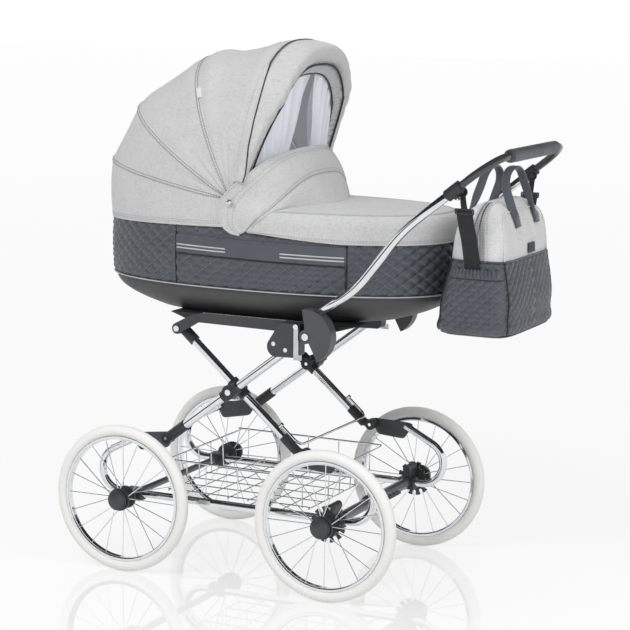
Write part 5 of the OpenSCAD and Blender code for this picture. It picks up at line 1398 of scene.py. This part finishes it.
def build_bag():
    """The changing bag: quilted below its split, plain and slack above it, with piping, pockets and a blank tag."""
    count, quilt_rows, base_shares = 460, 62, (0.01, 0.4, 0.75, 0.93)
    t, total = bag_angles(count)
    along = np.linspace(0, total, count, endpoint=False)

    def ring(u, out=0.0):
        return bag_ring(u, t, out)

    rows, flat_v = [], []
    for k in base_shares:
        low = ring(0.0)
        rows.append((low - (BAG_X, 0, 0)) * (k, k, 1) + (BAG_X, 0, 0))
        flat_v.append(0)
    levels = np.concatenate([np.linspace(0, BAG_SPLIT, quilt_rows), np.linspace(BAG_SPLIT + 0.012, 1.0, 34)])
    for u in levels:
        z = u * BAG_H
        if u <= BAG_SPLIT:
            edge = min(1.0, z / 8.0) * min(1.0, (BAG_SPLIT * BAG_H - z) / 5.0 + 0.1)
            puff = 4.4 * pillow(along, np.full(count, z), *BAG_QUILT) * edge
        else:
            k = (u - BAG_SPLIT) / (1 - BAG_SPLIT)
            slack = 1.2 * np.sin(np.pi * k) * np.sin(2 * np.pi * along / 61 + 3 * k)
            puff = slack + 2.0 * math.sin(math.pi * min(1, k * 1.4))
        rows.append(ring(u, puff))
        flat_v.append(z)
    for k in (0.6, 0.25, 0.01):
        crown = ring(1.0)
        centre = np.array([BAG_X + 9, 0, 0])
        rows.append((crown - centre) * (k, 0.6 + 0.4 * k, 1) + centre + (0, 0, 2.4 * (1 - k)))
        flat_v.append(300)
    grid = np.array(rows)
    maps = np.stack([np.broadcast_to(along / BAG_QUILT[0], grid.shape[:2]),
                     np.broadcast_to(np.array(flat_v)[:, None] / BAG_QUILT[1], grid.shape[:2])], axis=-1) * MM
    faces = quads(len(grid), count, False, True)
    bag = make("changing_bag", grid, faces, FINISH["slate_quilt"], None, maps)
    bag.data.materials.append(FINISH["bag_cloth"])
    split = len(base_shares) + quilt_rows - 1
    bag.data.polygons.foreach_set("material_index", (faces[:, 0] // count >= split).astype(np.int32))
    mend_normals(bag)
    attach(bag, "bag")
    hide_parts("bag")

    sweep("bag_split_piping", ring(BAG_SPLIT + 0.006, 2.2), 4.2, SMOOTH_BAND, "bag", 4.2, 8, closed=True)
    sweep("bag_base_piping", ring(0.02, 1.6), 4.6, BLACK_TAPE, "bag", 4.6, 8, closed=True)
    for i, k in enumerate((BAG_CORNER, np.pi - BAG_CORNER, -BAG_CORNER, BAG_CORNER - np.pi)):
        us = np.linspace(0.03, BAG_SPLIT, 30)
        line = np.array([bag_ring(u, np.array(k), 3.8) for u in us])
        sweep(f"bag_corner_piping_{i + 1}", line, 3.2, BLACK_TAPE, "bag", 3.2, 8)

    build_pockets()
    build_bag_trim()
    build_carry_loops()
    build_hanging_straps()
    across = np.linspace(-8, 34, 12)
    tag = np.array([bag_ring(u, np.arcsin(power(across / (BAG_W * bag_section(u)[1]), 3)), 4.6)
                    for u in np.linspace(0.605, 0.682, 8)])
    label = cloth_shell("bag_tag", tag, 1.2, BLACK_TAPE, "bag", (BAG_X, 0, 790))
    declare_sheet(tag)


def build_pockets():
    """A quilted pocket at each end of the bag, gathered under a dark tape at its mouth."""
    reach, half_w, tall = 0.885, 78, 145
    xs = np.linspace(-1, 1, 110)[None]
    v = np.linspace(0, 1, 90)[:, None]
    u = 0.02 + 0.50 * v
    fx, fy, shift = bag_section(u)
    half, wide = reach * fx * BAG_D, fy * BAG_W
    bulge = (1 - np.abs(xs) ** 4) * (4 + 5 * np.sin(np.pi * np.clip(v * 0.95, 0, 1)))
    quilt = 5.2 * pillow(xs * half_w, v * tall + 0 * xs, *BAG_QUILT)
    quilt = quilt * np.clip((0.86 - v) / 0.05, 0, 1) * np.clip(v / 0.06, 0, 1)
    gather = (2.0 * np.sin(xs * 46) * np.clip((v - 0.84) / 0.1, 0, 1)
              + 0.8 * np.sin(xs * 83 + 1) * np.clip((v - 0.8) / 0.2, 0, 1))
    sewn = 1 - np.abs(xs) ** 10
    out = wide * (1 - np.abs(reach * xs) ** 6) ** (1 / 6) + 3.8 + bulge + (quilt + gather) * sewn
    z = BAG_Z + u * BAG_H + 1.5 * np.sin(xs * 46) * (v > 0.9) + 0 * xs
    maps = np.stack([half_w / BAG_QUILT[0] * xs + 0 * v, tall / BAG_QUILT[1] * v + 0 * xs], axis=-1) * MM
    for word, side in SIDES:
        grid = np.stack([BAG_X + shift + half * xs, side * out, z], axis=-1)
        pocket = cloth_shell("bag_pocket_" + word, grid, 1.6, FINISH["slate_quilt"], "bag", (BAG_X, 0, 700), maps=maps)
        declare_sheet(grid)
        sweep("pocket_tape_" + word, grid[76] + (0, side * 0.6, 0), 3.0, BLACK_TAPE, "bag", 2.2, 8)


# ---- floor and light

def stage_sheet(name, corners, material):
    """A flat sheet of the studio."""
    mesh = bpy.data.meshes.new(name)
    mesh.from_pydata(corners, [], [(0, 1, 2, 3)])
    mesh.materials.append(material)
    sheet = bpy.data.objects.new(name, mesh)
    scene.collection.objects.link(sheet)
    return sheet


def mix_at(tree, end, share, a, b):
    """Joins two shaders by a share and leads them to the tree's end."""
    mixed = put(tree, "ShaderNodeMixShader", {0: share, 1: a.outputs[0], 2: b.outputs[0]})
    tree.links.new(mixed.outputs[0], tree.nodes[end].inputs["Surface"])


def build_floor():
    """A pale floor that mirrors the pram and shows nearly white."""
    material = bpy.data.materials.new("pale_floor")
    material.use_nodes = True
    tree = material.node_tree
    shader = tree.nodes["Principled BSDF"]
    shader.inputs["Base Color"].default_value = (0.97, 0.97, 0.97, 1)
    shader.inputs["Roughness"].default_value = 0.0
    shader.inputs["Coat Roughness"].default_value = 0.0
    shader.inputs["Coat Weight"].default_value = 1.0
    white = put(tree, "ShaderNodeEmission", {"Color": (1, 1, 1, 1), "Strength": 1.0})
    seen = put(tree, "ShaderNodeLightPath").outputs
    eye = sums(tree, "MAXIMUM", seen["Is Camera Ray"], seen["Is Glossy Ray"])
    mix_at(tree, "Material Output", sums(tree, "MULTIPLY", eye, 0.6), shader, white)
    stage_sheet("pale_floor", [(-30, -30, 0), (30, -30, 0), (30, 30, 0), (-30, 30, 0)], material)


def light_world():
    """Soft white light from all round; the camera and mirrors see plain white."""
    world = bpy.data.worlds.new("studio")
    scene.world = world
    world.use_nodes = True
    tree = world.node_tree
    soft = tree.nodes["Background"]
    soft.inputs["Color"].default_value = (1.0, 1.0, 1.0, 1)
    soft.inputs["Strength"].default_value = 0.58
    white = put(tree, "ShaderNodeBackground", {"Color": (1, 1, 1, 1), "Strength": 1.0})
    seen = put(tree, "ShaderNodeLightPath").outputs
    bent = sums(tree, "MAXIMUM", seen["Is Glossy Ray"], seen["Is Transmission Ray"])
    mix_at(tree, "World Output", sums(tree, "MAXIMUM", seen["Is Camera Ray"], bent), soft, white)


def hang_lamps():
    """Two square lamps, which mirrors don't show."""
    for name, spot, aim, size, watts in (("key_panel", (-0.6, -3.5, 3.8), (0, 0, 0.7), 2.2, 92.0),
                                         ("fill_panel", (3.6, -1.2, 2.4), (0.1, 0, 0.7), 2.2, 44.0)):
        data = bpy.data.lights.new(name, "AREA")
        data.shape, data.size, data.energy = "SQUARE", size, watts
        lamp = bpy.data.objects.new(name, data)
        lamp.visible_glossy = False
        away = unit(np.array(spot) - np.array(aim))
        side = unit(np.cross((0, 0, 1), away))
        lift = np.cross(away, side)
        lamp.matrix_world = Matrix([[side[i], lift[i], away[i], spot[i]] for i in range(3)] + [[0, 0, 0, 1]])
        scene.collection.objects.link(lamp)


def hang_flags():
    """Dark sheets that only the chrome shows: the floor alone is perfectly smooth, so its mirror sees through them."""
    dark = bpy.data.materials.new("dark_flag")
    dark.use_nodes = True
    tree = dark.node_tree
    shader = tree.nodes["Principled BSDF"]
    shader.inputs["Base Color"].default_value = (0.02, 0.02, 0.02, 1)
    shader.inputs["Roughness"].default_value = 0.9
    mirror = put(tree, "ShaderNodeLightPath").outputs["Is Singular Ray"]
    mix_at(tree, "Material Output", mirror, shader, put(tree, "ShaderNodeBsdfTransparent"))
    flags = ([(-6, -9, 3.4), (7, -9, 3.4), (7, 9, 3.4), (-6, 9, 3.4)],
             [(-5.5, -2.0, 0.2), (-2.4, -6.5, 0.2), (-2.4, -6.5, 1.9), (-5.5, -2.0, 1.9)])
    for i, corners in enumerate(flags):
        flag = stage_sheet(f"dark_flag_{i + 1}", corners, dark)
        flag.visible_camera = flag.visible_diffuse = flag.visible_shadow = False


build_tub()
build_side_wall()
build_apron()
build_flap()
build_skirt()
build_hood()
build_rim()
build_curtains()
build_mattress()
build_straps()
build_grip()
build_handle_tubes()
build_rail_trim()
build_bag()
build_floor()
light_world()
hang_lamps()
hang_flags()
